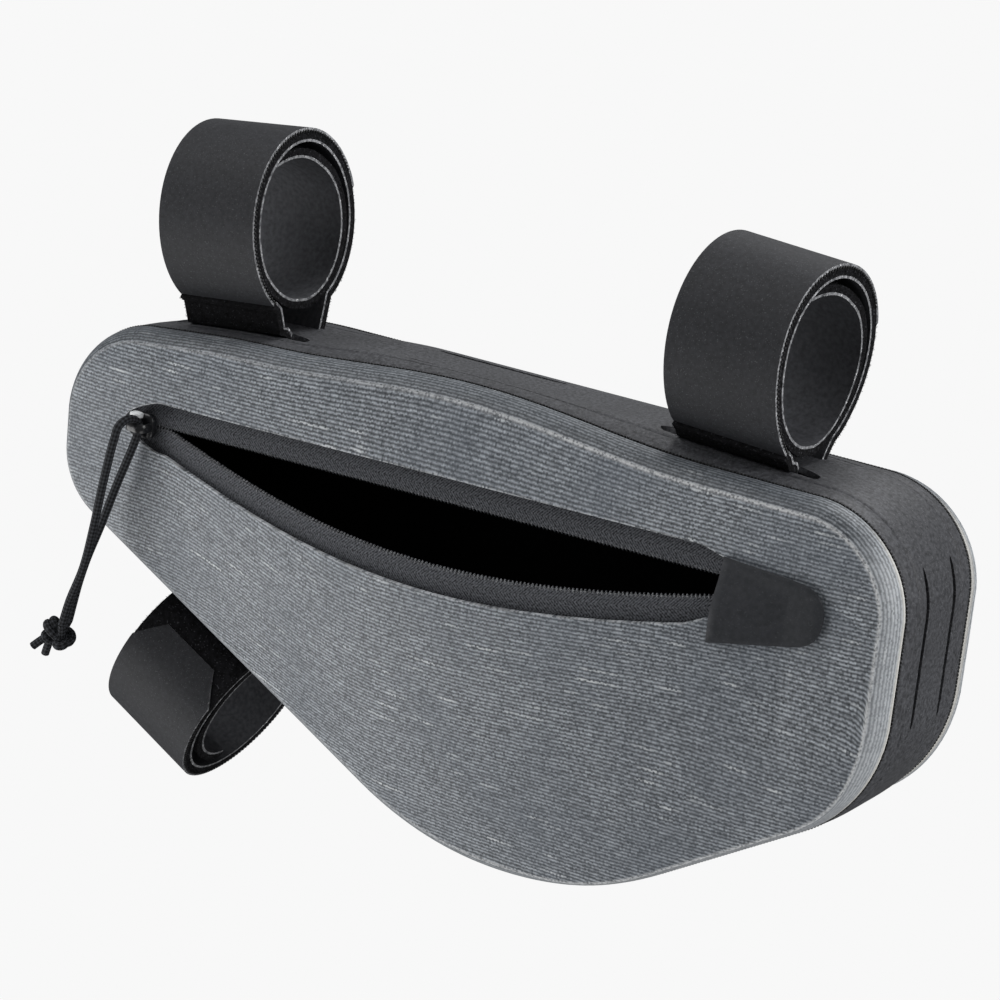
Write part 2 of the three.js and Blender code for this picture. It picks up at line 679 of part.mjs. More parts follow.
// A ribbon along points of a strap's roll. shareAt gives its half width by the length still to run.
function ribbon(strap, middle, path, shareAt) {
  const place = outlineAt(middle);
  const angle = Math.atan2(place.nz, place.nx) + degrees(strap.tilt);
  const [nx, nz] = [Math.cos(angle), Math.sin(angle)];
  const sheet = new Sheet();
  const far = HOOK_RADIUS * 2;
  const lengths = [0];
  path.slice(1).forEach((point, i) => {
    lengths.push(lengths[i] + Math.hypot(point.p - path[i].p, point.q - path[i].q));
  });
  const rows = path.map(({ p, q }, i) => {
    const share = clamp((q - ROLL_FOOT) / (far - ROLL_FOOT), 0, 1);
    const half = (STRAP_WIDTH / 2) * shareAt(lengths.at(-1) - lengths[i]);
    return [-half, half].map((across) => {
      const turn = degrees(strap.yaw) * share;
      const along = across * Math.cos(turn) - p * Math.sin(turn);
      const y = (p * Math.cos(turn) + across * Math.sin(turn)) * (strap.top ? 1 : -1);
      return sheet.point(
        place.x + along * nz + q * nx,
        y,
        place.z - along * nx + q * nz,
      );
    });
  });
  sheet.grid(rows, !strap.top);
  return sheet.solid(STRAP_WALL, STRAP_WALL / 2);
}

function rollCentre(strap, crown) {
  return crown + GAP + STRAP_WALL / 2 + INNER_TURN + strap.stand;
}

// The loop tape: up through the front slit as a stub, under the band, out of the back slit and one
// and a half turns round, ending inside the roll
function loopTape(strap, middle) {
  const crown = crownAt(outlineAt(middle));
  const centre = rollCentre(strap, crown);
  const outside = bandOut(crown, SLIT_Y);
  const under = outside - BAND_WALL - GAP - STRAP_WALL / 2 - strap.slack;
  const faces = { outside, under };
  const path = [
    ...turnPoints(centre, STUB.from, STUB.to, STUB.start, STUB.finish),
    ...LOOP_BENDS.map(({ slit, inward, face, out }) => (
      { p: slit * (SLIT_Y - inward), q: faces[face] + out }
    )),
    ...LOOP_TURNS.flatMap(({ from, to, start, finish }) => turnPoints(centre, from, to, start, finish)),
  ];
  return ribbon(strap, middle, path.reverse(), () => 1);
}

// The hook tape: from just above the stub up the front and over, to a clipped tip at the back
function hookTape(strap, middle) {
  const centre = rollCentre(strap, crownAt(outlineAt(middle)));
  const tipAngle = THREE.MathUtils.radToDeg(TIP_LENGTH / HOOK_RADIUS);
  const path = [
    ...turnPoints(centre, HOOK_FROM, strap.end + tipAngle, HOOK_RADIUS, HOOK_RADIUS),
    ...turnPoints(centre, strap.end, strap.end, HOOK_RADIUS, HOOK_RADIUS).slice(1),
  ];
  const shareAt = (left) => (left < TIP_LENGTH / 2 ? TIP_SHARE : 1);
  return ribbon(strap, middle, path, shareAt);
}

// Finishes
const GREY_CLOTH = { color: 0x6f757b, roughness: 0.75, metalness: 0 };
const BAND_RUBBER = { color: 0x3f4043, roughness: 0.7, metalness: 0 };
const ZIP_TWILL = { color: 0x333338, roughness: 0.85, metalness: 0 };
const ZIP_NYLON = { color: 0x1c1c1e, roughness: 0.45, metalness: 0 };
const SLIDER_METAL = { color: 0x2a2b2d, roughness: 0.35, metalness: 0.8 };
const GARAGE_RUBBER = { color: 0x29292c, roughness: 0.55, metalness: 0 };
const BRAIDED_CORD = { color: 0x1e1f21, roughness: 0.8, metalness: 0 };
const LOOP_FUZZ = { color: 0x1a1a1c, roughness: 0.95, metalness: 0 };
const HOOK_TAPE = { color: 0x2e2e31, roughness: 0.65, metalness: 0 };

const bag = new THREE.Group();

function addPiece(name, geometry, finish) {
  const mesh = new THREE.Mesh(geometry, new THREE.MeshStandardMaterial(finish));
  mesh.name = name;
  bag.add(mesh);
}

addPiece('front_panel', panel(true), GREY_CLOTH);
addPiece('back_panel', panel(false), GREY_CLOTH);
addPiece('edge_band', edgeBand(), BAND_RUBBER);
for (const [where, upper] of [['upper', true], ['lower', false]]) {
  addPiece(`zip_tape_${where}`, zipTape(upper), ZIP_TWILL);
  addPiece(`zip_coil_${where}`, zipCoil(upper), ZIP_NYLON);
}
addPiece('zip_slider', zipSlider(), SLIDER_METAL);
addPiece('zip_garage', zipGarage(), GARAGE_RUBBER);
addPiece('pull_cord_front', strand(CORD_FRONT, KNOT_FRONT_SIDE), BRAIDED_CORD);
addPiece('pull_cord_back', strand(CORD_BACK, KNOT_BACK_SIDE), BRAIDED_CORD);
addPiece('pull_cord_knot', cordKnot(), BRAIDED_CORD);
STRAPS.forEach((strap, i) => {
  addPiece(`strap_${strap.name}_loop`, loopTape(strap, STRAP_MIDDLES[i]), LOOP_FUZZ);
  addPiece(`strap_${strap.name}_hook`, hookTape(strap, STRAP_MIDDLES[i]), HOOK_TAPE);
});

bag.position.z = -TOP_CROWN;

export default bag;
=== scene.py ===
"""Looks of a bicycle frame bag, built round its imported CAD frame.

Sizes are in millimetres, with heights from the bag's top seam. Meshes are in metres in the frame's own
axes: +X to the deep end of the bag, +Y to its back and +Z up.
"""

from __future__ import annotations

import logging
import math
from dataclasses import dataclass, field
from enum import Enum
from functools import lru_cache, partial
from typing import Any, Callable, Sequence

import bmesh
import bpy
import numpy as np
from mathutils import Matrix, Vector

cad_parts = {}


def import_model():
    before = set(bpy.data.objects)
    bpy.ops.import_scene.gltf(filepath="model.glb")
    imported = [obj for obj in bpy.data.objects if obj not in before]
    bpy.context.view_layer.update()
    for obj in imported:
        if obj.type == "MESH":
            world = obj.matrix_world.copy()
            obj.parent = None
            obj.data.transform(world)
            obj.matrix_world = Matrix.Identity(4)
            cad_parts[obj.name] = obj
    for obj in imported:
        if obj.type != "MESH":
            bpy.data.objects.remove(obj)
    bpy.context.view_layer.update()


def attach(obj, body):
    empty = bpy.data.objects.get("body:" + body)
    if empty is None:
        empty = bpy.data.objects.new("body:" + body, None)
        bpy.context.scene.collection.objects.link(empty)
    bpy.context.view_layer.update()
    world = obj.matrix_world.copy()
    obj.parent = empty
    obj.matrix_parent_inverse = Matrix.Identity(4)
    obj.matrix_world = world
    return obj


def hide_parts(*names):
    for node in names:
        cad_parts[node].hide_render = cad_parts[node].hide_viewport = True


LOG = logging.getLogger("frame_bag")

MM = 0.001
TOP_CROWN = 3.6
BODY = "root"
CLOTH_UV = "Threads"
HALVINGS = 44
CURVE_STEPS = 24
CREASE_ANGLE = 42.0
# Where the band's two spare pairs of slits lie: along the top, and below the top in the right end
SPARE_TOP_X = -8.0
SPARE_END_Z = -35.0

MATH = "ShaderNodeMath"
RANGE = "ShaderNodeMapRange"
MIX = "ShaderNodeMix"
NOISE = "ShaderNodeTexNoise"
BUMP = "ShaderNodeBump"

Point = tuple[float, float, float]
Pair = tuple[float, float]
Vertex = tuple[Point, Pair, dict[str, float]]
Inputs = dict[Any, Any] | Sequence[Any]
Tree = bpy.types.NodeTree
Node = bpy.types.Node
Socket = bpy.types.NodeSocket
Piece = bpy.types.Object
Adder = Callable[..., Node]


def clamp(value: float, low: float = 0.0, high: float = 1.0) -> float:
    """The value, kept between two bounds."""
    return min(max(value, low), high)


def lerp(start: float, end: float, share: float) -> float:
    """The value at a share of the way from start to end."""
    return start + (end - start) * share


def smoothstep(value: float, low: float, high: float) -> float:
    """A smooth rise from 0 at low to 1 at high."""
    share = clamp((value - low) / (high - low))
    return share * share * (3 - 2 * share)


def ring(sides: int) -> list[float]:
    """The angles once round a section, whose last is its first again."""
    return [2 * math.pi * (k % sides) / sides for k in range(sides + 1)]


def squared(parts: Sequence[float], power: float) -> float:
    """How far a direction is stretched to turn a round form into a squarish one."""
    return sum(abs(part) ** power for part in parts) ** (-1 / power)


def framed(place: Point) -> Point:
    """A point in metres from the frame's origin."""
    x, y, z = place
    return x * MM, y * MM, (z - TOP_CROWN) * MM


def linear(code: str) -> tuple[float, float, float, float]:
    """Turns an sRGB hex colour to linear.

    Args:
        code: The colour as #rrggbb.

    Returns:
        Linear red, green, blue and an alpha of 1.
    """
    parts = [int(code[i : i + 2], 16) / 255 for i in (1, 3, 5)]
    red, green, blue = (c / 12.92 if c <= 0.04045 else ((c + 0.055) / 1.055) ** 2.4 for c in parts)
    return red, green, blue, 1.0


def feed(tree: Tree, node: Node, inputs: Inputs) -> None:
    """Fills a node's inputs.

    Args:
        tree: The material's or geometry's node tree.
        node: The node.
        inputs: Values in the inputs' order, or by input name or number. A socket is linked, and so is
            another node's first output.
    """
    for key, value in inputs.items() if isinstance(inputs, dict) else enumerate(inputs):
        source = value.outputs[0] if isinstance(value, Node) else value
        if isinstance(source, Socket):
            tree.links.new(source, node.inputs[key])
        else:
            node.inputs[key].default_value = source


def add_node(tree: Tree, kind: str, inputs: Inputs = (), **settings: Any) -> Node:
    """Adds a node to a tree.

    Args:
        tree: The material's or geometry's node tree.
        kind: The node's type.
        inputs: What fills its inputs.
        settings: The node's own properties.

    Returns:
        The node.
    """
    node = tree.nodes.new(kind)
    for name, value in settings.items():
        setattr(node, name, value)
    feed(tree, node, inputs)
    return node


def show(name: str, data: bpy.types.ID) -> Piece:
    """Puts a mesh, a light or a camera into the scene as an object."""
    piece = bpy.data.objects.new(name, data)
    bpy.context.scene.collection.objects.link(piece)
    return piece


class Side(Enum):
    """The two walls of the bag."""

    FRONT = "front"
    BACK = "back"


class Lip(Enum):
    """The two sides of the zip's mouth."""

    UPPER = "upper"
    LOWER = "lower"


@dataclass(frozen=True)
class Corner:
    """A corner of the outline and the radius that rounds it."""

    x: float
    z: float
    radius: float


@dataclass(frozen=True)
class Spot:
    """A place on the outline and its outward direction."""

    x: float
    z: float
    nx: float
    nz: float


@dataclass(frozen=True)
class Stretch:
    """An arc or a straight line of the outline, and the length along the outline where it starts."""

    start: float
    length: float
    x: float
    z: float
    angle: float
    radius: float = 0.0

    def at(self, local: float) -> Spot:
        """The spot at a length along this stretch."""
        if self.radius:
            angle = self.angle + local / self.radius
            nx, nz = math.cos(angle), math.sin(angle)
            return Spot(self.x + self.radius * nx, self.z + self.radius * nz, nx, nz)
        nx, nz = math.cos(self.angle), math.sin(self.angle)
        return Spot(self.x - nz * local, self.z + nx * local, nx, nz)


@dataclass
class Outline:
    """The bag's outline at its seams, counterclockwise from the front, as arcs joined by lines."""

    corners: tuple[Corner, ...] = (
        Corner(27.3, -139.7, 96.5),
        Corner(131.2, -74.0, 42.0),
        Corner(131.2, 0.0, 27.0),
        Corner(-75.0, 0.0, 200.0),
        Corner(-136.0, -6.0, 30.0),
        Corner(-136.0, -56.0, 22.0),
    )
    right_line: int = 3
    left_line: int = 9
    stretches: list[Stretch] = field(default_factory=list)

    def __post_init__(self) -> None:
        """Works out the arcs and lines, and the two upright ends."""
        arcs = [self.arc(i) for i in range(len(self.corners))]
        start = 0.0
        for i, (arc, turn) in enumerate(arcs):
            following = arcs[(i + 1) % len(arcs)][0]
            length = arc.radius * turn
            self.stretches.append(Stretch(start, length, arc.x, arc.z, arc.angle, arc.radius))
            start += length
            leaves, meets = arc.at(length), following.at(0.0)
            span = math.hypot(meets.x - leaves.x, meets.z - leaves.z)
            self.stretches.append(Stretch(start, span, leaves.x, leaves.z, arc.angle + turn))
            start += span
        self.length = start
        right, left = self.stretches[self.right_line], self.stretches[self.left_line]
        self.right_end = right.start + right.length / 2
        self.left_end = left.start + left.length / 2

    def arc(self, index: int) -> tuple[Stretch, float]:
        """Rounds one corner.

        Args:
            index: The corner's place in the table.

        Returns:
            The arc, not yet placed along the outline, and the angle that it turns through.
        """
        before, corner = self.corners[index - 1], self.corners[index]
        after = self.corners[(index + 1) % len(self.corners)]
        come = math.atan2(corner.z - before.z, corner.x - before.x)
        turn = (math.atan2(after.z - corner.z, after.x - corner.x) - come) % (2 * math.pi)
        back = corner.radius * math.tan(turn / 2)
        x = corner.x - back * math.cos(come) - corner.radius * math.sin(come)
        z = corner.z - back * math.sin(come) + corner.radius * math.cos(come)
        return Stretch(0.0, 0.0, x, z, come - math.pi / 2, corner.radius), turn

    def at(self, length: float) -> Spot:
        """The spot at a length along the outline."""
        local = length % self.length
        stretch = [s for s in self.stretches if s.start <= local][-1]
        return stretch.at(local - stretch.start)

    @lru_cache(maxsize=None)
    def length_at_x(
        self, x: float, upper: bool, inset: Callable[[Spot], float] = lambda spot: 0.0
    ) -> float:
        """Finds where a copy of the outline, set in from it, crosses x.

        Args:
            x: The place along the bag.
            upper: Whether the upper side is meant, or the lower.
            inset: How far the copy is set in at a spot.

        Returns:
            The length along the outline.
        """
        low, high = self.right_end, self.left_end
        if not upper:
            low, high = self.left_end - self.length, self.right_end
        for _ in range(HALVINGS):
            middle = (low + high) / 2
            spot = self.at(middle)
            if (spot.x - spot.nx * inset(spot) > x) == upper:
                low = middle
            else:
                high = middle
        return (low + high) / 2

    __hash__ = object.__hash__


@dataclass
class BagForm:
    """The laws of the bag's shape: its walls, its mouth and its edge band."""

    outline: Outline = field(default_factory=Outline)
    shoulder_inset: float = 3.6
    slope_inset: float = 1.5
    slope_down: Pair = (0.1, 0.75)
    slope_right: Pair = (0.0, 0.4)
    seam_out: float = 18.45
    ridge_out: dict[Side, float] = field(default_factory=lambda: {Side.FRONT: 25.2, Side.BACK: 22.0})
    face_crown: float = 3.2
    zip_z: float = -26.4
    zip_slope: float = 0.025
    mouth_left: float = -110.0
    mouth_right: float = 104.0
    mouth_round: float = 12.0
    mouth_taper: float = 26.0
    sag_left: float = -95.0
    lip_drop: float = 13.0
    lip_bulge: float = 12.0
    tape_shown: float = 7.2
    swell_half: float = 74.0
    swell_up: float = 4.0
    swell_back: float = 2.5
    droop_depth: float = 6.0
    droop_span: Pair = (95.0, 126.0)
    band_half: float = 18.0
    band_flat: float = 6.2
    end_crown: float = 0.8
    crown_rise: Pair = (-70.0, -30.0)
    crown_fall: Pair = (40.0, 120.0)

    def __post_init__(self) -> None:
        """Finds the ridge's two ends."""
        self.ridge_left = self.outline.at(self.outline.left_end).x + self.shoulder_inset
        self.ridge_right = self.outline.at(self.outline.right_end).x - self.shoulder_inset

    def inset(self, spot: Spot) -> float:
        """How far the ridge lies in from the outline: less on the slope under the deep end."""
        slope = smoothstep(-spot.nz, *self.slope_down) * smoothstep(spot.nx, *self.slope_right)
        return lerp(self.shoulder_inset, self.slope_inset, slope)

    @lru_cache(maxsize=None)
    def ridge(self, x: float, upper: bool) -> Spot:
        """The ridge between face and shoulder at x, on the upper or lower side."""
        spot = self.outline.at(self.outline.length_at_x(x, upper, self.inset))
        return Spot(x, spot.z - spot.nz * self.inset(spot), spot.nx, spot.nz)

    def zip_line(self, x: float) -> float:
        """The height of the closed zip at x."""
        return self.zip_z + self.zip_slope * x

    def sag(self, x: float) -> float:
        """0 at the ends of the mouth, 1 where the lower lip hangs lowest."""
        return math.sin(math.pi * clamp((x - self.sag_left) / (self.mouth_right - self.sag_left)))

    def lip_z(self, x: float, lip: Lip) -> float:
        """The height of a lip's zip edge at x."""
        return self.zip_line(x) - (self.lip_drop * self.sag(x) if lip is Lip.LOWER else 0.0)

    def shown(self, x: float) -> float:
        """How far the cloth's edge stands back from the zip at x."""
        left = math.sqrt(clamp((x - self.mouth_left) / self.mouth_round))
        right = clamp((self.mouth_right - x) / self.mouth_taper)
        return self.tape_shown * min(left, right)

    def in_mouth(self, x: float) -> bool:
        """Whether x lies between the ends of the mouth."""
        return self.mouth_left < x < self.mouth_right

    @lru_cache(maxsize=None)
    def mouth_edge(self, x: float, lip: Lip) -> float:
        """The height of the cloth's edge at a lip. Past the mouth's ends the two lips are one line."""
        inside = clamp(x, self.mouth_left, self.mouth_right)
        if inside == x:
            return self.lip_z(x, lip) + self.shown(x) * (1 if lip is Lip.UPPER else -1)
        low, high = self.ridge(inside, False).z, self.ridge(inside, True).z
        share = (self.zip_line(inside) - low) / (high - low)
        return lerp(self.ridge(x, False).z, self.ridge(x, True).z, share)

    def face_swell(self, x: float, z: float, belly: float = 0.0) -> float:
        """How far a face stands out beyond its ridge.

        Args:
            x: The place along the bag.
            z: The height.
            belly: The share of the front's bulge below the mouth, from 0 to 1.

        Returns:
            The distance out.
        """
        low, high = self.ridge(x, False).z, self.ridge(x, True).z
        up = (z - low) / (high - low) if high - low > 1e-6 else 0.5
        along = (x - self.ridge_left) / (self.ridge_right - self.ridge_left)
        crown = self.face_crown * (1 - (2 * up - 1) ** 4) * (1 - (2 * along - 1) ** 6)
        if belly <= 0:
            return crown
        rise = clamp((z - low) / (self.mouth_edge(x, Lip.LOWER) - low))
        return crown + belly * self.lip_bulge * self.sag(x) * math.sin(rise * math.pi / 2) ** 1.5

    def front_out(self, x: float, z: float, belly: float = 0.0) -> float:
        """How far the front face stands out from the middle plane."""
        return self.ridge_out[Side.FRONT] + self.face_swell(x, z, belly)

    def swell(self, x: float) -> float:
        """The share by which the front seam is pushed up and back at x."""
        return math.cos(clamp(x / self.swell_half, -1.0, 1.0) * math.pi / 2) ** 2

    def droop(self, x: float) -> float:
        """How far the back seam sits below the front one at x."""
        return self.droop_depth * smoothstep(-x, *self.droop_span)

    def crown(self, spot: Spot) -> float:
        """How far the band stands out from its seams."""
        share = smoothstep(spot.x, *self.crown_rise) * (1 - smoothstep(spot.x, *self.crown_fall))
        return self.end_crown + (TOP_CROWN - self.end_crown) * share * max(0.0, spot.nz) ** 2

    def band_out(self, crown: float, y: float) -> float:
        """How far the band stands out at y across it."""
        return crown * (1 - clamp((abs(y) - self.band_flat) / (self.band_half - self.band_flat)) ** 2)

    def band_point(self, spot: Spot, y: float, relief: float = 0.0) -> Point:
        """A point on the band.

        Args:
            spot: The place on the outline.
            y: The place across the band.
            relief: How far the point stands proud of the band.

        Returns:
            The point.
        """
        out = self.band_out(self.crown(spot), y) + relief
        up = max(0.0, spot.nz)
        push = up * self.swell(spot.x) * clamp((-y - self.band_flat) / (self.band_half - self.band_flat))
        drop = up * self.droop(spot.x) * clamp((y + self.band_half) / (2 * self.band_half))
        return (
            spot.x + spot.nx * out,
            y + push * self.swell_back,
            spot.z + spot.nz * out + push * self.swell_up - drop,
        )

    def columns(self, in_mouth: int, at_ends: int) -> list[float]:
        """Places along the bag, closer together at its ends and the mouth's ends.

        Args:
            in_mouth: The number of steps along the mouth.
            at_ends: The number of steps from each end of the mouth to the end of the bag.

        Returns:
            The places, from left to right.
        """
        shares = [math.cos(math.pi * i / (2 * at_ends)) for i in range(at_ends)]
        left = [self.mouth_left - (self.mouth_left - self.ridge_left) * s for s in shares]
        right = [self.mouth_right + (self.ridge_right - self.mouth_right) * s for s in reversed(shares)]
        return [*left, *self.mouth_columns(in_mouth), *right]

    def mouth_columns(self, count: int) -> list[float]:
        """Places along the mouth, closer together at its ends."""
        middle, half = (self.mouth_left + self.mouth_right) / 2, (self.mouth_right - self.mouth_left) / 2
        return [middle - half * math.cos(math.pi * i / count) for i in range(count + 1)]

    __hash__ = object.__hash__


@dataclass
class Sheet:
    """An open sheet of quads in millimetres, with a UV pair at each corner and values at points."""

    points: list[Point] = field(default_factory=list)
    quads: list[list[int]] = field(default_factory=list)
    corners: list[Pair] = field(default_factory=list)
    values: dict[str, dict[int, float]] = field(default_factory=dict)
    lookup: dict[tuple[int, ...], int] = field(default_factory=dict)

    def point(self, place: Point, values: dict[str, float]) -> int:
        """Adds a point, or finds the one that is there.

        Args:
            place: The point.
            values: Named values that its material reads.

        Returns:
            The point's number.
        """
        key = tuple(round(value * 1e3) for value in place)
        if key not in self.lookup:
            self.lookup[key] = len(self.points)
            self.points.append(place)
        index = self.lookup[key]
        for name, value in values.items():
            self.values.setdefault(name, {})[index] = value
        return index

    def lay(
        self,
        rows: Sequence[Sequence[Vertex]],
        flip: bool = False,
        left_out: Callable[[int, int], bool] = lambda r, c: False,
    ) -> None:
        """Adds rows of points and joins them with quads.

        Args:
            rows: Each point's place, UV pair and values.
            flip: Whether the quads face the other way.
            left_out: Says where a quad is left out, by row and column.
        """
        numbers = [[self.point(place, values) for place, _, values in row] for row in rows]
        for r in range(len(rows) - 1):
            for c in range(len(rows[r]) - 1):
                if left_out(r, c):
                    continue
                around = [(r, c), (r, c + 1), (r + 1, c + 1), (r + 1, c)]
                seen: dict[int, Pair] = {}
                for row, column in reversed(around) if flip else around:
                    seen.setdefault(numbers[row][column], rows[row][column][1])
                if len(seen) > 2:
                    self.quads.append(list(seen))
                    self.corners.extend(seen.values())

    def piece(self, name: str, *finishes: Finish) -> Piece:
        """Makes the sheet an object of the scene.

        Args:
            name: The object's name.
            finishes: Its finishes, in the order of its material slots.

        Returns:
            The object.
        """
        mesh = bpy.data.meshes.new(name)
        mesh.from_pydata([framed(place) for place in self.points], [], self.quads)
        threads = mesh.uv_layers.new(name=CLOTH_UV)
        threads.data.foreach_set("uv", np.array(self.corners, np.float32).ravel())
        for value_name, by_point in self.values.items():
            data = mesh.attributes.new(value_name, "FLOAT", "POINT").data
            data.foreach_set("value", [by_point.get(i, 0.0) for i in range(len(self.points))])
        mesh.shade_smooth()
        for finish in finishes:
            mesh.materials.append(finish.material())
        return show(name, mesh)


def settle(piece: Piece) -> Piece:
    """Turns a piece's modifiers into plain mesh and returns the piece."""
    bpy.context.view_layer.update()
    graph = bpy.context.evaluated_depsgraph_get()
    made = bpy.data.meshes.new_from_object(
        piece.evaluated_get(graph), preserve_all_data_layers=True, depsgraph=graph
    )
    piece.modifiers.clear()
    old, piece.data = piece.data, made
    bpy.data.meshes.remove(old)
    made.name = piece.name
    return piece


def thicken(piece: Piece, wall: float, offset: float, lining: int = 0, rim: int = 0) -> Piece:
    """Gives a sheet its wall.

    Args:
        piece: The sheet.
        wall: The thickness in millimetres.
        offset: -1 where the wall goes in from the sheet, 0 where it lies to both sides.
        lining: How many material slots further the inner side's finish is.
        rim: How many material slots further the cut edge's finish is.

    Returns:
        The piece.
    """
    solid = piece.modifiers.new("wall", "SOLIDIFY")
    solid.thickness = wall * MM
    solid.offset = offset
    solid.material_offset = lining
    solid.material_offset_rim = rim
    settle(piece)
    piece.data.set_sharp_from_angle(angle=math.radians(CREASE_ANGLE))
    return piece


def hand_over(piece: Piece, slot: str, *nodes: str) -> Piece:
    """Rides a finished piece on the bag and reports it.

    Args:
        piece: The piece.
        slot: The material slot that the piece stands for; not used.
        nodes: The CAD nodes that it stands for.

    Returns:
        The piece.
    """
    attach(piece, BODY)
    if nodes:
        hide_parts(*nodes)
    LOG.info("%s: %d faces", piece.name, len(piece.data.polygons))
    return piece


class Finish:
    """A finish that is built as a material once, when a piece first asks for it."""

    name: str = "finish"
    roughness: float = 0.6
    specular: float = 0.5

    def material(self) -> bpy.types.Material:
        """The finish's material."""
        found = bpy.data.materials.get(self.name)
        if found is not None:
            return found
        made = bpy.data.materials.new(self.name)
        made.use_nodes = True
        tree = made.node_tree
        surface = {"Roughness": self.roughness, "Specular IOR Level": self.specular}
        surface.update(self.dress(partial(add_node, tree)))
        feed(tree, tree.nodes["Principled BSDF"], surface)
        return made

    def dress(self, add: Adder) -> dict[str, Any]:
        """Adds the finish's pattern, and returns what fills its shader's inputs."""
        raise NotImplementedError


@dataclass(frozen=True)
class RibbedLaminate(Finish):
    """Polyester cloth laminated with clear film: fine ribs along the bag, with streaks and pale slubs."""

    # Woven ribs under a satin film: broken pale crests, dark valleys, white wear with a painted highlight on
    # folded ridges, and painted light and shade on the shoulder by how it faces
    name: str = "ribbed_laminate_cloth"
    roughness: float = 0.5
    specular: float = 0.25
    valley: str = "#1d2125"
    crest: str = "#b8bec5"
    cool: str = "#565d66"
    slub: str = "#d0d3d5"
    # Pale tone of the frayed mouth, and of the ridge line's wear and painted highlight
    worn: str = "#dcddde"
    # Silver of the shoulder, partly painted light where it faces down and to the deep end
    shoulder: str = "#aaadb0"
    hem: str = "#cfccc4"
    rib_pitch: float = 1.02
    rib_depth: float = 0.15
    # The real threads cross about every 0.3 mm, and are drawn coarser to show
    dash_size: Point = (1.6, 2.3, 1.0)
    bead_size: Pair = (0.55, 0.51)
    streak_length: float = 6.0
    slub_length: float = 17.0
    mottle_size: float = 34.0
    row_jump: float = 7.77

    def dress(self, add: Adder) -> dict[str, Any]:
        """Adds ribs, streaks, slubs, mottling, the shoulder's painted light and shade, the ridge's wear and
        painted highlight, and the frayed mouth.
        """
        threads = add("ShaderNodeUVMap", uv_map=CLOTH_UV)
        along, across, _ = add("ShaderNodeSeparateXYZ", [threads]).outputs
        ridge, wear, rub, cut = (
            add("ShaderNodeAttribute", attribute_name=name).outputs["Fac"]
            for name in ("ridge", "wear", "rub", "cut")
        )
        wave = {"Vector": threads, "Scale": math.pi / (10 * self.rib_pitch)}
        wave.update({"Distortion": 1.2, "Detail": 1.0, "Detail Scale": 0.3})
        rib = add("ShaderNodeTexWave", wave, bands_direction="Y").outputs["Fac"]

        # Streaks and slubs run along a rib, and start afresh in the next one
        row = add(MATH, [add(MATH, [across, self.rib_pitch], operation="DIVIDE")], operation="FLOOR")
        jump = add(MATH, [row, self.row_jump], operation="MULTIPLY")
        streaks = []
        for length, detail in ((self.streak_length, 3.0), (self.slub_length, 1.5)):
            run = add(MATH, [along, length], operation="DIVIDE")
            place = add("ShaderNodeCombineXYZ", [run, jump, length])
            streaks.append(add(NOISE, {"Vector": place, "Scale": 1.0, "Detail": detail}))
        streak = add(MATH, [add(RANGE, [streaks[0], 0.3, 0.7, 0.0, 0.45]), 0.52], operation="ADD")
        slub = add(MATH, [add(RANGE, [streaks[1], 0.64, 0.73]), rib], operation="MULTIPLY")

        # Thread crossings: a bead of its own tone in each small cell, with soft dashes over it
        dashes = add("ShaderNodeVectorMath", [threads, self.dash_size], operation="MULTIPLY")
        dashes = add(NOISE, {"Vector": dashes, "Scale": 1.0, "Detail": 3.0})
        weave = add(RANGE, [dashes, 0.32, 0.68, 0.0, 0.3])
        cells = [
            add(MATH, [add(MATH, [way, size], operation="DIVIDE")], operation="FLOOR")
            for way, size in zip((along, across), self.bead_size)
        ]
        cell = add("ShaderNodeCombineXYZ", cells)
        bead = add("ShaderNodeTexWhiteNoise", {"Vector": cell}, noise_dimensions="2D")
        grained = add(MATH, [bead, 0.65, weave], operation="MULTIPLY_ADD")
        broken = add(RANGE, [grained, 0.2, 0.6])

        raised = add(MATH, [rib, 0.84, 0.08], operation="MULTIPLY_ADD")
        crest = add(MATH, [raised, add(MATH, [grained, 0.22], operation="ADD")], operation="MULTIPLY")
        low = add(MATH, [grained, 0.2], operation="MULTIPLY")
        thread = add(MATH, [crest, streak, low], operation="MULTIPLY_ADD")
        silver = add(MATH, [thread, 0.5, 0.3], operation="MULTIPLY_ADD")
        whole = add(MATH, [broken, 0.6, 0.25], operation="MULTIPLY_ADD")
        unworn = add(MATH, [1.0, wear], operation="SUBTRACT")
        apart = add(MATH, [ridge], operation="ABSOLUTE")
        cloud = add(NOISE, {"Vector": threads, "Scale": 1 / self.mottle_size, "Detail": 4.0})

        # Each tone over the last, by the product of its shares
        colour = linear(self.valley)
        for tone, share, *others in (
            (self.crest, thread),
            (self.cool, add(RANGE, [cloud, 0.42, 0.72, 0.0, 0.4])),
            (self.slub, slub, broken),
            # Pale silver shoulder where it faces down and to the deep end: partly wear, partly painted light
            (self.shoulder, add(RANGE, [ridge, -0.6, 1.2]), silver, wear),
            # Painted shade: the valley tone darkens the shoulder where it faces up
            (self.valley, add(RANGE, [ridge, -0.6, 1.2, 0.0, 0.5]), unworn),
            # Pale line along the ridge: rubbed wear with a painted edge highlight, stronger towards the deep
            # end
            (self.worn, add(RANGE, [apart, 0.8, 0.1]), whole, rub),
            # The cream hem by the seam, scaled by the same share of wear and painted light
            (self.hem, add(RANGE, [ridge, 6.4, 7.6, 0.0, 0.6]), wear),
            (self.worn, add(RANGE, [cut, 0.55, 0.1, 0.0, 0.3]), broken),
        ):
            for other in others:
                share = add(MATH, [share, other], operation="MULTIPLY")
            colour = add(MIX, {0: share, 6: colour, 7: linear(tone)}, data_type="RGBA").outputs[2]
        height = add(MATH, [slub, 0.4, thread], operation="MULTIPLY_ADD")
        relief = add(BUMP, {"Height": height, "Strength": 0.3, "Distance": self.rib_depth * MM})
        return {"Base Color": colour, "Normal": relief}


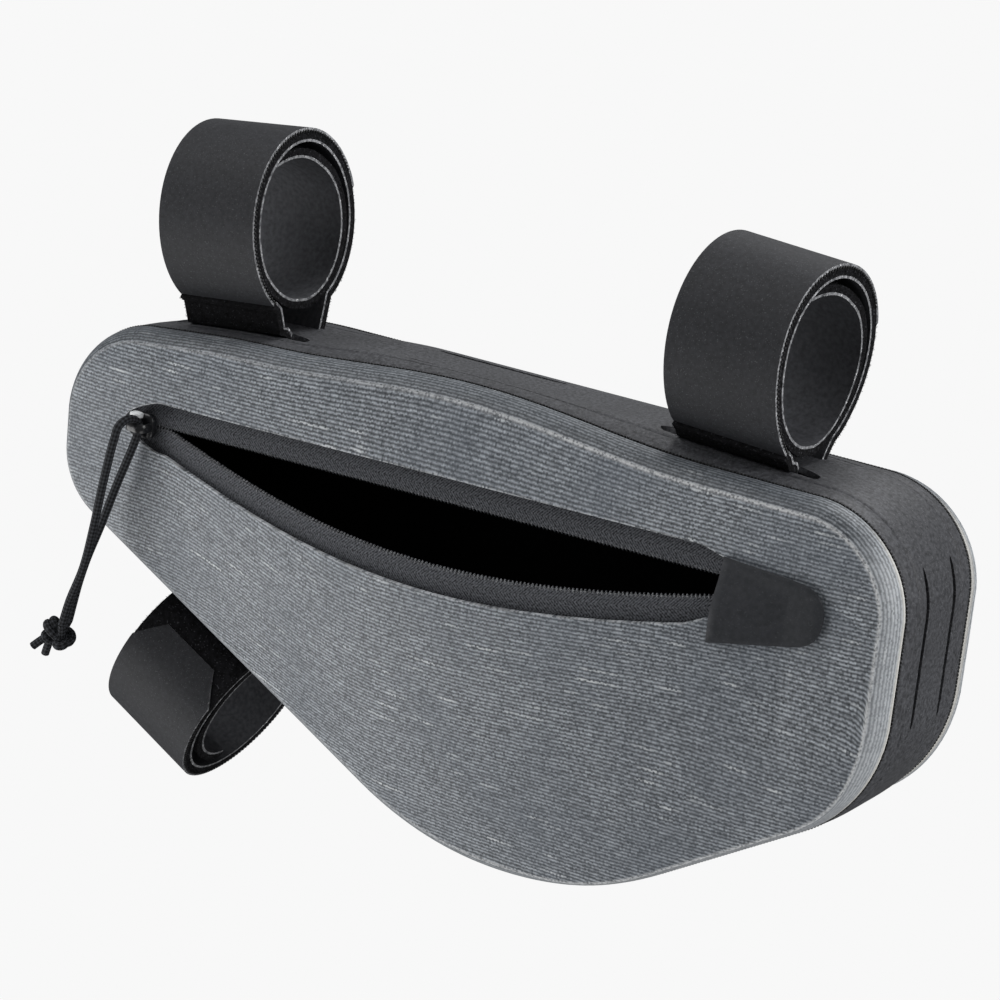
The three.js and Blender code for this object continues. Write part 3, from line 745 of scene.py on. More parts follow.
@dataclass(frozen=True)
class GrainedSurface(Finish):
    """A matte dark skin with a fine grain, a paler speck here and there, and slow changes of tone."""

    name: str = "grained_surface"
    dark: str = "#2f3033"
    light: str = "#434448"
    speck: str = "#77787b"
    roughness: float = 0.62
    specular: float = 0.3
    grain_size: float = 0.5
    grain_depth: float = 0.12
    speck_size: float = 0.45
    speck_share: float = 0.25
    cloud_size: float = 24.0

    def dress(self, add: Adder) -> dict[str, Any]:
        """Adds the grain, its specks and its relief."""
        place = add("ShaderNodeTexCoord").outputs["Object"]
        grain, cloud, fleck = (
            add(NOISE, {"Vector": place, "Scale": 1 / (size * MM), "Detail": detail})
            for size, detail in ((2 * self.grain_size, 3.0), (self.cloud_size, 3.0), (self.speck_size, 0.0))
        )
        colour = linear(self.dark)
        for tone, share in (
            (self.light, add(RANGE, [grain, 0.3, 0.7])),
            (self.dark, add(RANGE, [cloud, 0.4, 0.7, 0.0, 0.35])),
            (self.speck, add(RANGE, [fleck, 0.70, 0.78, 0.0, self.speck_share])),
        ):
            colour = add(MIX, {0: share, 6: colour, 7: linear(tone)}, data_type="RGBA").outputs[2]
        relief = add(BUMP, {"Height": grain, "Strength": 0.5, "Distance": self.grain_depth * MM})
        return {"Base Color": colour, "Normal": relief}


@dataclass(frozen=True)
class HerringboneTwill(Finish):
    """Polyester zip tape: a dull charcoal weave whose diagonals turn back every few millimetres."""

    # The real diagonals are about 0.6 mm apart, and are drawn coarser to show
    name: str = "herringbone_twill"
    roughness: float = 0.8
    specular: float = 0.2
    dark: str = "#1c1d20"
    light: str = "#5e6065"
    diagonal_pitch: float = 0.9
    diagonal_depth: float = 0.2
    turn_width: float = 3.4
    fuzz_size: float = 0.625

    def dress(self, add: Adder) -> dict[str, Any]:
        """Adds the diagonals and their relief."""
        threads = add("ShaderNodeUVMap", uv_map=CLOTH_UV)
        along, across, _ = add("ShaderNodeSeparateXYZ", [threads]).outputs
        zigzag = add(MATH, [across, self.turn_width], operation="PINGPONG")
        slant = add(MATH, [along, zigzag], operation="ADD")
        phase = add(MATH, [slant, 2 * math.pi / self.diagonal_pitch], operation="MULTIPLY")
        wave = add(MATH, [phase], operation="SINE")
        fuzz = add(NOISE, {"Vector": threads, "Scale": 1 / self.fuzz_size, "Detail": 3.0})
        share = add(MATH, [wave, 0.28, add(RANGE, [fuzz, 0.3, 0.7])], operation="MULTIPLY_ADD")
        tones = {0: share, 6: linear(self.dark), 7: linear(self.light)}
        relief = add(BUMP, {"Height": share, "Strength": 0.5, "Distance": self.diagonal_depth * MM})
        return {"Base Color": add(MIX, tones, data_type="RGBA").outputs[2], "Normal": relief}


@dataclass(frozen=True)
class BraidedPolyester(Finish):
    """Braided cord: dull black yarns that cross, with a soft sheen painted on each crown."""

    name: str = "braided_polyester"
    roughness: float = 0.7
    specular: float = 0.15
    dark: str = "#0d0d0f"
    light: str = "#3c3e42"
    yarns_round: int = 4
    yarn_pitch: float = 2.4
    yarn_depth: float = 0.2

    def dress(self, add: Adder) -> dict[str, Any]:
        """Adds the two sets of crossing yarns."""
        threads = add("ShaderNodeUVMap", uv_map=CLOTH_UV)
        turn, run, _ = add("ShaderNodeSeparateXYZ", [threads]).outputs
        along = add(MATH, [run, 2 * math.pi / self.yarn_pitch], operation="MULTIPLY")
        around = add(MATH, [turn, 2 * math.pi * self.yarns_round], operation="MULTIPLY")
        yarns = [
            add(MATH, [add(MATH, [along, around], operation=lay)], operation="SINE")
            for lay in ("ADD", "SUBTRACT")
        ]
        share = add(RANGE, [add(MATH, yarns, operation="MULTIPLY"), -0.6, 0.9])
        # The light tone is a sheen painted on the yarns' crowns
        tones = {0: share, 6: linear(self.dark), 7: linear(self.light)}
        relief = add(BUMP, {"Height": share, "Strength": 0.6, "Distance": self.yarn_depth * MM})
        return {"Base Color": add(MIX, tones, data_type="RGBA").outputs[2], "Normal": relief}


@dataclass(frozen=True)
class PaleSweep(Finish):
    """A white sweep that glows a little, as an overlit studio backdrop does."""

    name: str = "pale_sweep"
    roughness: float = 0.9
    tone: str = "#f8f8f8"
    glow: float = 0.995

    def dress(self, add: Adder) -> dict[str, Any]:
        """The sweep's colour and glow, without a pattern."""
        tones = {"Base Color": linear("#000000"), "Emission Color": linear(self.tone)}
        return {**tones, "Emission Strength": self.glow}


CLOTH = RibbedLaminate()
# Thermoplastic rubber, moulded with a sand-like grain: matte charcoal that lightens at a slant
RUBBER = GrainedSurface(
    name="grained_rubber", dark="#222326", light="#4b4c50", grain_depth=0.2, speck_size=0.4, speck_share=0.35
)
# The cloth's inner coat of black polyurethane, which the light hardly reaches
COATING = GrainedSurface(
    name="black_inner_coat", dark="#08080a", light="#121214", roughness=0.8, speck_share=0.0
)
TWILL = HerringboneTwill()
# Polyester monofilament wound into a coil: hard, black and a little glossy, with a paler grey mottle that
# stands for painted glints
NYLON = GrainedSurface(
    name="coil_monofilament", dark="#26272a", light="#626468", roughness=0.26, specular=0.7, grain_size=0.6,
    grain_depth=0.03,
)
# Die-cast zinc under black lacquer: smooth, with sharp lights on its rounded edges
LACQUER = GrainedSurface(
    name="lacquered_zinc", dark="#101113", light="#1d1e21", roughness=0.28, specular=0.4, grain_size=0.8,
    grain_depth=0.02,
)
# The same zinc, pale and softly bright: a painted highlight on top of the slider's bridge
ZINC = GrainedSurface(
    name="bare_zinc", dark="#cccfd1", light="#e2e4e5", roughness=0.35, specular=0.6, grain_size=0.8,
    grain_depth=0.03, speck_share=0.0,
)
# Polyurethane film, cut and glued down: very smooth satin black
FILM = GrainedSurface(
    name="satin_film", dark="#282a2d", light="#333438", roughness=0.55, specular=0.18, grain_size=0.7,
    grain_depth=0.03, speck_share=0.08,
)
BRAID = BraidedPolyester()
# Smooth coated face of the strap: matte charcoal with a fine grain and a few pale specks of dust
STRAP_FACE = GrainedSurface(
    name="coated_strap_face", dark="#1c1d20", light="#2a2b2f", roughness=0.66, specular=0.25, grain_size=0.6,
    grain_depth=0.1, speck_size=0.35, speck_share=0.2,
)
# Back of the loop tape, sized with resin: dull and a little paler
STRAP_BACK = GrainedSurface(
    name="sized_strap_back", dark="#323336", light="#47484c", roughness=0.75, specular=0.2, grain_size=0.6,
    grain_depth=0.1, speck_share=0.0,
)
# Napped nylon loops: a deep black pile, with pale specks painted as glints where single loops catch the
# light
PILE = GrainedSurface(
    name="napped_loop_pile", dark="#040405", light="#19191c", speck="#64656a", roughness=0.9, specular=0.15,
    grain_size=0.7, grain_depth=0.6, speck_size=0.5, speck_share=0.3,
)
# Hot-cut edge of the coated strap: pale fibres in a dotted line
CUT_EDGE = GrainedSurface(
    name="hot_cut_edge", dark="#3a3b3e", light="#a2a3a6", speck="#dcdcde", roughness=0.7, grain_size=0.6,
    grain_depth=0.15, speck_size=0.6, speck_share=0.7,
)
# Bonded polyester sewing thread: nearly black with a faint gloss
THREAD = GrainedSurface(
    name="bonded_thread", dark="#070708", light="#131416", roughness=0.5, grain_size=0.3, grain_depth=0.05
)


@dataclass
class Wall:
    """A grey cloth wall: its face, split at the mouth on the front, and its shoulder back to the seam."""

    form: BagForm
    side: Side
    wall: float = 1.1
    lower_rows: int = 46
    upper_rows: int = 18
    shoulder_rows: int = 9
    shoulder_turn: float = 60.0
    hem: float = 1.6
    # What the cloth reads as its distance from the ridge at the seam and at the hem behind it
    seam_mark: float = 8.0
    hem_mark: float = 9.0
    uncut: float = 99.0
    least_rise: float = 0.3
    # Wear and painted light by how far the ridge faces, with painted shade where it faces up: right on the
    # slope below, right at the deep end, and up
    slope_turn: Pair = (0.0, 0.5)
    end_turn: Pair = (0.4, 0.95)
    top_turn: Pair = (-0.35, 0.25)
    pale_below: Pair = (0.8, 1.2)
    # How strong the ridge's pale line of wear and painted highlight is, from left to right
    rubbed: Pair = (0.3, 0.8)
    rub_span: Pair = (-60.0, 60.0)
    thread_drop: float = 15.3
    drop_span: Pair = (-98.0, -8.0)
    thread_lift: float = 4.08
    lift_span: Pair = (5.0, 85.0)
    lift_rise: Pair = (0.1, 0.8)
    back_puff: float = 1.4
    mouth_steps: int = 120
    end_steps: int = 22

    def place(self, x: float, z: float, out: float, pushed: float) -> Point:
        """A point of the wall, moved with its seam.

        Args:
            x: The place along the bag.
            z: The height.
            out: The distance from the middle plane.
            pushed: The share of the seam's own movement that the point follows.

        Returns:
            The point.
        """
        if self.side is Side.FRONT:
            push = pushed * self.form.swell(x)
            return x, push * self.form.swell_back - out, z + push * self.form.swell_up
        return x, out, z - pushed * self.form.droop(x)

    def split(self, x: float, lip: Lip) -> float:
        """The height where the face's lower and upper parts end at the mouth."""
        if self.side is Side.BACK and self.form.in_mouth(x):
            return self.form.zip_line(x)
        return self.form.mouth_edge(x, lip)

    def worn(self, ridge: Spot) -> dict[str, float]:
        """How pale the shoulder is at a place on the ridge, as wear and painted light, and how strong the
        ridge's pale line of wear and painted highlight is.
        """
        below = lerp(*self.pale_below, smoothstep(ridge.nx, *self.slope_turn))
        above = smoothstep(ridge.nx, *self.end_turn)
        return {
            "wear": lerp(below, above, smoothstep(ridge.nz, *self.top_turn)),
            "rub": lerp(*self.rubbed, smoothstep(ridge.x, *self.rub_span)),
        }

    def dropped(self, x: float, share: float) -> float:
        """How far the threads below the mouth have fallen with its lip, at the right end by whole ribs.

        Args:
            x: The place along the bag.
            share: The share of the way up from the ridge to the lip.

        Returns:
            The fall in height.
        """
        lifted = self.thread_lift * smoothstep(x, *self.lift_span) * smoothstep(share, *self.lift_rise)
        return self.thread_drop * smoothstep(x, *self.drop_span) - lifted

    def face_vertex(self, x: float, share: float, lip: Lip) -> Vertex:
        """A point of the face.

        Args:
            x: The place along the bag.
            share: The share of the way up the face's part above or below the mouth.
            lip: Which part.

        Returns:
            Its place, its threads and its values.
        """
        form, upper = self.form, lip is Lip.UPPER
        bellied = self.side is Side.FRONT and not upper
        ridge, other, edge = form.ridge(x, upper), form.ridge(x, not upper), self.split(x, lip)
        z = lerp(edge, ridge.z, share) if upper else lerp(ridge.z, edge, share)
        pushed = share * max(0.0, ridge.nz) if upper else 0.0
        out = form.ridge_out[self.side] + form.face_swell(x, z, 1.0 if bellied else 0.0)
        inside = min(
            abs(ridge.z - z) * max(abs(ridge.nz), self.least_rise),
            abs(other.z - z) * max(abs(other.nz), self.least_rise),
            x - form.ridge_left,
            form.ridge_right - x,
        )
        cut = abs(z - edge) if self.side is Side.FRONT and form.in_mouth(x) else self.uncut
        threads = (x, z + (self.dropped(x, share) if bellied else 0.0))
        return self.place(x, z, out, pushed), threads, {"ridge": -inside, "cut": cut, **self.worn(ridge)}

    def face(self, sheet: Sheet, lip: Lip, columns: Sequence[float]) -> None:
        """Adds the part of the face above or below the mouth.

        Args:
            sheet: The sheet to add it to.
            lip: Which part.
            columns: Places along the bag.
        """
        count = self.upper_rows if lip is Lip.UPPER else self.lower_rows
        rows = [[self.face_vertex(x, k / count, lip) for x in columns] for k in range(count + 1)]
        sheet.lay(rows, flip=self.side is Side.BACK)

    def shoulder(self, sheet: Sheet, columns: Sequence[float]) -> None:
        """Adds the rounded shoulder from the ridge to the seam, and the hem behind it.

        Args:
            sheet: The sheet to add it to.
            columns: Places along the bag.
        """
        form = self.form
        lower = [form.ridge(x, False) for x in columns]
        upper = [form.ridge(x, True) for x in reversed(columns[1:-1])]
        loop = [*lower, *upper, lower[0]]
        runs = [0.0]
        for before, after in zip(loop, loop[1:]):
            runs.append(runs[-1] + math.hypot(after.x - before.x, after.z - before.z))
        turn = math.radians(self.shoulder_turn)
        out_radius = (form.ridge_out[self.side] - form.seam_out) / math.sin(turn)
        puff = self.back_puff if self.side is Side.BACK else 0.0
        profile = [(self.hem / form.shoulder_inset, form.seam_out, self.hem_mark, 0.0)]
        for i in range(self.shoulder_rows + 1):
            angle = turn * i / self.shoulder_rows
            share, out = (1 - math.cos(angle)) / (1 - math.cos(turn)), out_radius * math.sin(angle)
            mark = (1 - i / self.shoulder_rows) * self.seam_mark
            swollen = puff * math.sin(math.pi * i / self.shoulder_rows)
            profile.append((share, form.seam_out + out, mark, swollen))
        rows = []
        for share, out, mark, swollen in profile:
            row = []
            for ridge, run in zip(loop, runs):
                reach = form.inset(ridge) * (1 - share) + swollen * max(0.0, ridge.nx)
                x, z = ridge.x + ridge.nx * reach, ridge.z + ridge.nz * reach
                values = {"ridge": mark, "cut": self.uncut, **self.worn(ridge)}
                row.append((self.place(x, z, out, max(0.0, ridge.nz)), (run, mark), values))
            rows.append(row)
        sheet.lay(rows, flip=self.side is Side.BACK)

    def build(self) -> Piece:
        """Builds the wall and hands it over."""
        sheet = Sheet()
        columns = self.form.columns(self.mouth_steps, self.end_steps)
        for lip in Lip:
            self.face(sheet, lip, columns)
        self.shoulder(sheet, columns)
        piece = thicken(sheet.piece(f"{self.side.value}_cloth", CLOTH, COATING), self.wall, -1.0, lining=1)
        return hand_over(piece, "grey_cloth", f"{self.side.value}_panel")


@dataclass(frozen=True)
class Slit:
    """A pair of cuts along the band: their middle, half their width and how blunt their ends are."""

    middle: float
    half_width: float
    blunt: float
    length: float = 42.0
    back_share: float = 1.0
    gape: float = 0.0

    def opening(self, at: float, side: Side) -> float:
        """Half a cut's width at a length along the outline, 0 past its ends."""
        share = min(1.0, abs(at - self.middle) / (self.length / 2))
        width = self.half_width * math.sqrt(1 - share**self.blunt)
        return width * (self.back_share if side is Side.BACK else 1.0)


@dataclass
class EdgeBand:
    """The rubber band round the bag between its two seams, with slits for the straps."""

    form: BagForm
    slits: Sequence[Slit]
    wall: float = 1.5
    step: float = 2.0
    # Places across the band, from its middle to a seam
    middle_ys: tuple[float, ...] = (0.0, 2.4, 4.6)
    slit_y: float = 7.4
    between_y: float = 10.4
    groove_y: float = 12.0
    outer_ys: tuple[float, ...] = (14.2, 15.8, 17.0)
    seam_y: float = 17.85
    hem_y: float = 18.1
    slit_closed: float = 0.02
    slit_lip: float = 2.3
    lip_sink: float = 0.2
    tip_steps: tuple[float, ...] = (0.0, 0.15, 0.4, 0.8, 1.4)
    groove_half: float = 0.5
    groove_depth: float = 0.4
    seam_sink: float = 0.1
    hem_depth: float = 1.4

    def slit_opening(self, length: float, side: Side) -> float:
        """Half the width of a slit at a length along the outline, almost 0 where there is none."""
        return max(self.slit_closed, *(slit.opening(length, side) for slit in self.slits))

    def slit_gape(self, length: float) -> float:
        """How far a slit's inner lip stands above its outer one at a length, to half the slit's width."""
        return max(slit.gape if abs(length - slit.middle) < slit.length / 2 else 0.0 for slit in self.slits)

    def lengths(self) -> list[float]:
        """Lengths along the outline for the band's sections, closer together at the slits' ends."""
        outline = self.form.outline
        count = round(outline.length / self.step)
        places = {outline.length * i / count for i in range(count + 1)}
        for slit in self.slits:
            for end in (-1, 1):
                tip = slit.middle + end * slit.length / 2
                places.update(tip - end * inward for inward in self.tip_steps)
        return sorted(places)

    def profile(self, length: float) -> list[Pair]:
        """Places across the band, each with its relief.

        Args:
            length: The length along the outline.

        Returns:
            Pairs of place and relief, from the front seam to the back one.
        """
        gape = self.slit_gape(length)
        front, back = (self.half_profile(self.slit_opening(length, side), gape) for side in Side)
        return [*((-y, relief) for y, relief in reversed(front[1:])), *back]

    def half_profile(self, opening: float, gape: float) -> list[Pair]:
        """Places from the band's middle to a seam, each with its relief.

        Args:
            opening: Half the slit's width.
            gape: How far its inner lip stands above its outer one, to half its width.

        Returns:
            Pairs of place and relief.
        """
        slit, groove, half = self.slit_y, self.groove_y, self.groove_half
        return [
            *((y, 0.0) for y in (*self.middle_ys, slit - self.slit_lip)),
            (slit - opening, (0.5 * gape - self.lip_sink) * opening),
            (slit + opening, (-0.5 * gape - self.lip_sink) * opening),
            *((y, 0.0) for y in (slit + self.slit_lip, self.between_y, groove - half)),
            (groove, -self.groove_depth),
            *((y, 0.0) for y in (groove + half, *self.outer_ys)),
            (self.seam_y, -self.seam_sink),
            (self.hem_y, -self.hem_depth),
        ]

    def build(self) -> Piece:
        """Builds the band and hands it over."""
        lengths = self.lengths()
        rows = []
        for length in lengths:
            spot = self.form.outline.at(length)
            profile = self.profile(length)
            rows.append([(self.form.band_point(spot, y, relief), (length, y), {}) for y, relief in profile])
        middle, to_slit = len(rows[0]) // 2, len(self.middle_ys) + 1
        slit_strips = (middle + to_slit, middle - to_slit - 1)

        def in_slit(r: int, c: int) -> bool:
            """Whether the quad lies in a slit."""
            centre = (lengths[r] + lengths[r + 1]) / 2
            return c in slit_strips and self.slit_opening(centre, Side.FRONT) > self.slit_closed

        sheet = Sheet()
        sheet.lay(rows, left_out=in_slit)
        piece = thicken(sheet.piece("rubber_band", RUBBER, COATING), self.wall, -1.0, lining=1)
        return hand_over(piece, "band_rubber", "edge_band")


class PieceTree:
    """A geometry tree with named inputs that sets instances on a ground, and ends in plain mesh."""

    NAME = "piece_tree"
    KINDS: dict[str, str] = {}

    def __init__(self) -> None:
        """Builds the tree and keeps its inputs' identifiers."""
        self.tree = bpy.data.node_groups.new(self.NAME, "GeometryNodeTree")
        face = self.tree.interface
        face.new_socket("Ground", in_out="INPUT", socket_type="NodeSocketGeometry")
        self.inputs = {
            name: face.new_socket(name, in_out="INPUT", socket_type=f"NodeSocket{kind}").identifier
            for name, kind in self.KINDS.items()
        }
        face.new_socket("Made", in_out="OUTPUT", socket_type="NodeSocketGeometry")
        add = partial(add_node, self.tree)
        given = add("NodeGroupInput").outputs
        real = add("GeometryNodeRealizeInstances", [self.instances(add, given)])
        dressed = add("GeometryNodeSetMaterial", {"Geometry": real, "Material": given["Finish"]})
        add("NodeGroupOutput", [dressed])

    def instances(self, add: Adder, given: Any) -> Node:
        """Adds the nodes that set the instances, and returns the last of them.

        Args:
            add: Adds a node to the tree.
            given: The tree's inputs.

        Returns:
            The node whose first output holds the instances.
        """
        raise NotImplementedError

    def run(self, ground: Piece, **values: Any) -> Piece:
        """Turns a bare ground into what the tree makes of it.

        Args:
            ground: The piece whose mesh the tree reads.
            values: The tree's inputs by name.

        Returns:
            The piece, a plain mesh.
        """
        modifier = ground.modifiers.new(self.NAME, "NODES")
        modifier.node_group = self.tree
        for name, value in values.items():
            modifier[self.inputs[name]] = value
        return settle(ground)


class RowTree(PieceTree):
    """A geometry tree that repeats a small bead along a path, turned to the path and to its facing."""

    NAME = "bead_row"
    KINDS = {"Spacing": "Float", "Size": "Vector", "Lean": "Float", "Finish": "Material"}

    def instances(self, add: Adder, given: Any) -> Node:
        """Adds the even places along the path, their turn and the bead.

        Args:
            add: Adds a node to the tree.
            given: The tree's inputs.

        Returns:
            The node that sets the beads.
        """
        curve = add("GeometryNodeMeshToCurve", [given["Ground"]])
        even = {"Curve": curve, "Length": given["Spacing"]}
        places = add("GeometryNodeResampleCurve", even, mode="LENGTH")
        tangent = add("GeometryNodeInputTangent")
        facing = add("GeometryNodeInputNamedAttribute", {"Name": "facing"}, data_type="FLOAT_VECTOR")
        align = "FunctionNodeAlignRotationToVector"
        along = add(align, {"Vector": tangent}, axis="X")
        out = add(align, {"Rotation": along, "Vector": facing}, axis="Z", pivot_axis="X")
        lean = add("ShaderNodeCombineXYZ", {2: given["Lean"]})
        leaned = add("FunctionNodeRotateRotation", [out, lean], rotation_space="LOCAL")
        bead = add("GeometryNodeMeshUVSphere", {"Segments": 8, "Rings": 5, "Radius": 0.5})
        smooth = add("GeometryNodeSetShadeSmooth", [bead])
        shaped = add("GeometryNodeTransform", {"Geometry": smooth, "Scale": given["Size"]})
        return add(
            "GeometryNodeInstanceOnPoints", {"Points": places, "Instance": shaped, "Rotation": leaned}
        )

    def along(
        self,
        name: str,
        paths: Sequence[Sequence[tuple[Point, Point]]],
        spacing: float,
        size: Point,
        finish: Finish,
        lean: float = 0.0,
    ) -> Piece:
        """Repeats the bead along paths.

        Args:
            name: The piece's name.
            paths: Lists of points, each with the direction that the bead's top faces.
            spacing: The distance from bead to bead.
            size: The bead's length along the path, width and height.
            finish: Its finish.
            lean: The angle by which a bead leans across the path.

        Returns:
            The piece, a plain mesh.
        """
        points, edges, facings = [], [], []
        for path in paths:
            first = len(points)
            points.extend(framed(place) for place, _ in path)
            facings.extend(facing for _, facing in path)
            edges.extend((i, i + 1) for i in range(first, len(points) - 1))
        mesh = bpy.data.meshes.new(name)
        mesh.from_pydata(points, edges, [])
        facing = mesh.attributes.new("facing", "FLOAT_VECTOR", "POINT")
        facing.data.foreach_set("vector", np.ravel(facings))
        sizes = [value * MM for value in size]
        return self.run(
            show(name, mesh), Spacing=spacing * MM, Size=sizes, Lean=lean, Finish=finish.material()
        )


@dataclass
class SeamStitches:
    """The sewn line beside each seam of the band."""

    form: BagForm
    rows: RowTree
    y: float = 17.75
    spacing: float = 1.0
    size: Point = (0.85, 0.8, 0.6)
    lean: float = 0.3
    step: float = 3.0

    def build(self) -> Piece:
        """Builds both rows of stitches and hands them over."""
        outline = self.form.outline
        count = round(outline.length / self.step)
        spots = [outline.at(outline.length * i / count) for i in range(count + 1)]
        paths = [
            [(self.form.band_point(spot, y), (spot.nx, 0.0, spot.nz)) for spot in spots]
            for y in (-self.y, self.y)
        ]
        piece = self.rows.along("seam_stitches", paths, self.spacing, self.size, THREAD, self.lean)
        return hand_over(piece, "band_rubber")


@dataclass
class OpenZip:
    """The open zip: two woven tapes, their coil teeth, and the patch that its end runs under."""

    form: BagForm
    rows: RowTree
    tape_wall: float = 0.9
    tape_depth: float = 1.85
    tape_inner: float = 0.4
    tape_outer: float = 10.6
    tape_rows: int = 12
    steps: int = 150
    coil_offset: float = 0.55
    coil_spacing: float = 1.15
    coil_bead: Point = (0.7, 1.7, 1.25)
    coil_lean: float = 0.25
    garage_left: float = 85.0
    garage_right: float = 114.0
    garage_middle: Pair = (-29.0, -27.4)
    garage_half: Pair = (10.8, 7.6)
    garage_blunt: float = 12.0
    garage_wall: float = 1.2
    garage_rise: float = 0.5
    # The patch thins out towards its edge: by how much, over what share of its half, from what width
    garage_thin: float = 0.5
    garage_bevel: float = 0.12
    garage_border: float = 8.0
    garage_columns: int = 40
    garage_rows: int = 24

    def tape_point(self, x: float, lip: Lip, offset: float) -> Point:
        """A point on a tape, at an offset from its zip edge."""
        upper = lip is Lip.UPPER
        z = self.form.lip_z(x, lip) + (offset if upper else -offset)
        return x, self.tape_depth - self.form.front_out(x, z, 0.0 if upper else 1.0), z

    def tape(self, lip: Lip) -> None:
        """Builds a tape and hands it over."""
        columns = self.form.mouth_columns(self.steps)
        rows = []
        for k in range(self.tape_rows + 1):
            offset = lerp(self.tape_inner, self.tape_outer, k / self.tape_rows)
            rows.append([(self.tape_point(x, lip, offset), (x, offset), {}) for x in columns])
        sheet = Sheet()
        sheet.lay(rows, flip=lip is Lip.LOWER)
        piece = thicken(sheet.piece(f"tape_{lip.value}_woven", TWILL), self.tape_wall, -1.0)
        hand_over(piece, "zip_twill", f"zip_tape_{lip.value}")

    def coil(self, lip: Lip) -> None:
        """Builds a row of coil teeth and hands it over."""
        path = []
        for x in self.form.mouth_columns(self.steps):
            px, py, pz = self.tape_point(x, lip, self.coil_offset)
            path.append(((px, py + self.tape_wall / 2, pz), (0.0, -1.0, 0.0)))
        name = f"coil_{lip.value}_teeth"
        piece = self.rows.along(name, [path], self.coil_spacing, self.coil_bead, NYLON, self.coil_lean)
        hand_over(piece, "zip_nylon", f"zip_coil_{lip.value}")

    def garage_vertex(self, across: float, share: float) -> Vertex:
        """A point of the patch over the zip's end.

        Args:
            across: The place across it, from -1 to 1.
            share: The share of the way along it.

        Returns:
            Its place and UV pair, with no values.
        """
        form = self.form
        x = lerp(self.garage_left, self.garage_right, share)
        half = lerp(*self.garage_half, share) * math.sqrt(1 - share**self.garage_blunt)
        z = lerp(*self.garage_middle, share) + half * across
        low, high = form.mouth_edge(x, Lip.LOWER), form.mouth_edge(x, Lip.UPPER)
        belly = smoothstep(-z, -high, -low) if high > low else 0.0
        to_edge = min(1 - abs(across), (x - self.garage_left) / self.garage_border, 1 - share)
        soft = self.garage_thin * (1 - clamp(to_edge / self.garage_bevel)) ** 2
        out = form.front_out(x, z, belly) + self.garage_rise + self.garage_wall - soft
        return (x, -out, z), (x, z), {}

    def garage(self) -> None:
        """Builds the smooth patch over the zip's end and hands it over."""
        columns, rows = self.garage_columns, self.garage_rows
        shares = [math.sin(math.pi * c / (2 * columns)) for c in range(columns + 1)]
        sheet = Sheet()
        sheet.lay([[self.garage_vertex(2 * r / rows - 1, s) for s in shares] for r in range(rows + 1)])
        piece = thicken(sheet.piece("garage_patch", FILM), self.garage_wall, -1.0)
        hand_over(piece, "garage_rubber", "zip_garage")

    def build(self) -> None:
        """Builds the zip's pieces."""
        for lip in Lip:
            self.tape(lip)
            self.coil(lip)
        self.garage()


def spline(points: Sequence[Vector], count: int) -> list[Vector]:
    """Runs a smooth centripetal curve through points.

    Args:
        points: The points that it passes through.
        count: The number of even steps in the result.

    Returns:
        The curve's points, evenly spaced.
    """
    ends = [2 * points[0] - points[1], *points, 2 * points[-1] - points[-2]]
    dense: list[Vector] = []
    for a, b, c, d in zip(ends, ends[1:], ends[2:], ends[3:]):
        t1 = (b - a).length ** 0.5
        t2 = t1 + (c - b).length ** 0.5
        t3 = t2 + (d - c).length ** 0.5
        for i in range(CURVE_STEPS):
            t = lerp(t1, t2, i / CURVE_STEPS)
            share = (t - t1) / (t2 - t1)
            ab, bc, cd = a.lerp(b, t / t1), b.lerp(c, share), c.lerp(d, (t - t2) / (t3 - t2))
            dense.append(ab.lerp(bc, t / t2).lerp(bc.lerp(cd, (t - t1) / (t3 - t1)), share))
    dense.append(points[-1].copy())
    runs = np.concatenate([[0.0], np.cumsum([(b - a).length for a, b in zip(dense, dense[1:])])])
    places = np.linspace(0.0, runs[-1], count + 1)
    table = np.array(dense)
    return [Vector(np.interp(place, runs, table[:, axis]) for axis in range(3)) for place in places]


def lay_cord(sheet: Sheet, path: Sequence[Vector], radius: float, sides: int = 12) -> None:
    """Adds a closed round cord along a path.

    Args:
        sheet: The sheet to add it to.
        path: The cord's centre line, evenly spaced.
        radius: The cord's radius.
        sides: The number of sides of its section.
    """
    tangents = [(b - a).normalized() for a, b in zip(path, path[1:])]
    tangents = [tangents[0], *((a + b).normalized() for a, b in zip(tangents, tangents[1:])), tangents[-1]]
    normal = tangents[0].orthogonal().normalized()
    rows, run = [], 0.0
    for i, (centre, tangent) in enumerate(zip(path, tangents)):
        normal = (normal - tangent * normal.dot(tangent)).normalized()
        side = tangent.cross(normal)
        run += (centre - path[i - 1]).length if i else 0.0
        row = []
        for k, angle in enumerate(ring(sides)):
            place = centre + radius * (math.cos(angle) * normal + math.sin(angle) * side)
            row.append((tuple(place), (k / sides, run), {}))
        rows.append(row)
    sheet.lay(rows)
    for centre, row, flip in ((path[0], rows[0], False), (path[-1], rows[-1], True)):
        sheet.lay([[(tuple(centre), uv, {}) for _, uv, _ in row], row], flip)


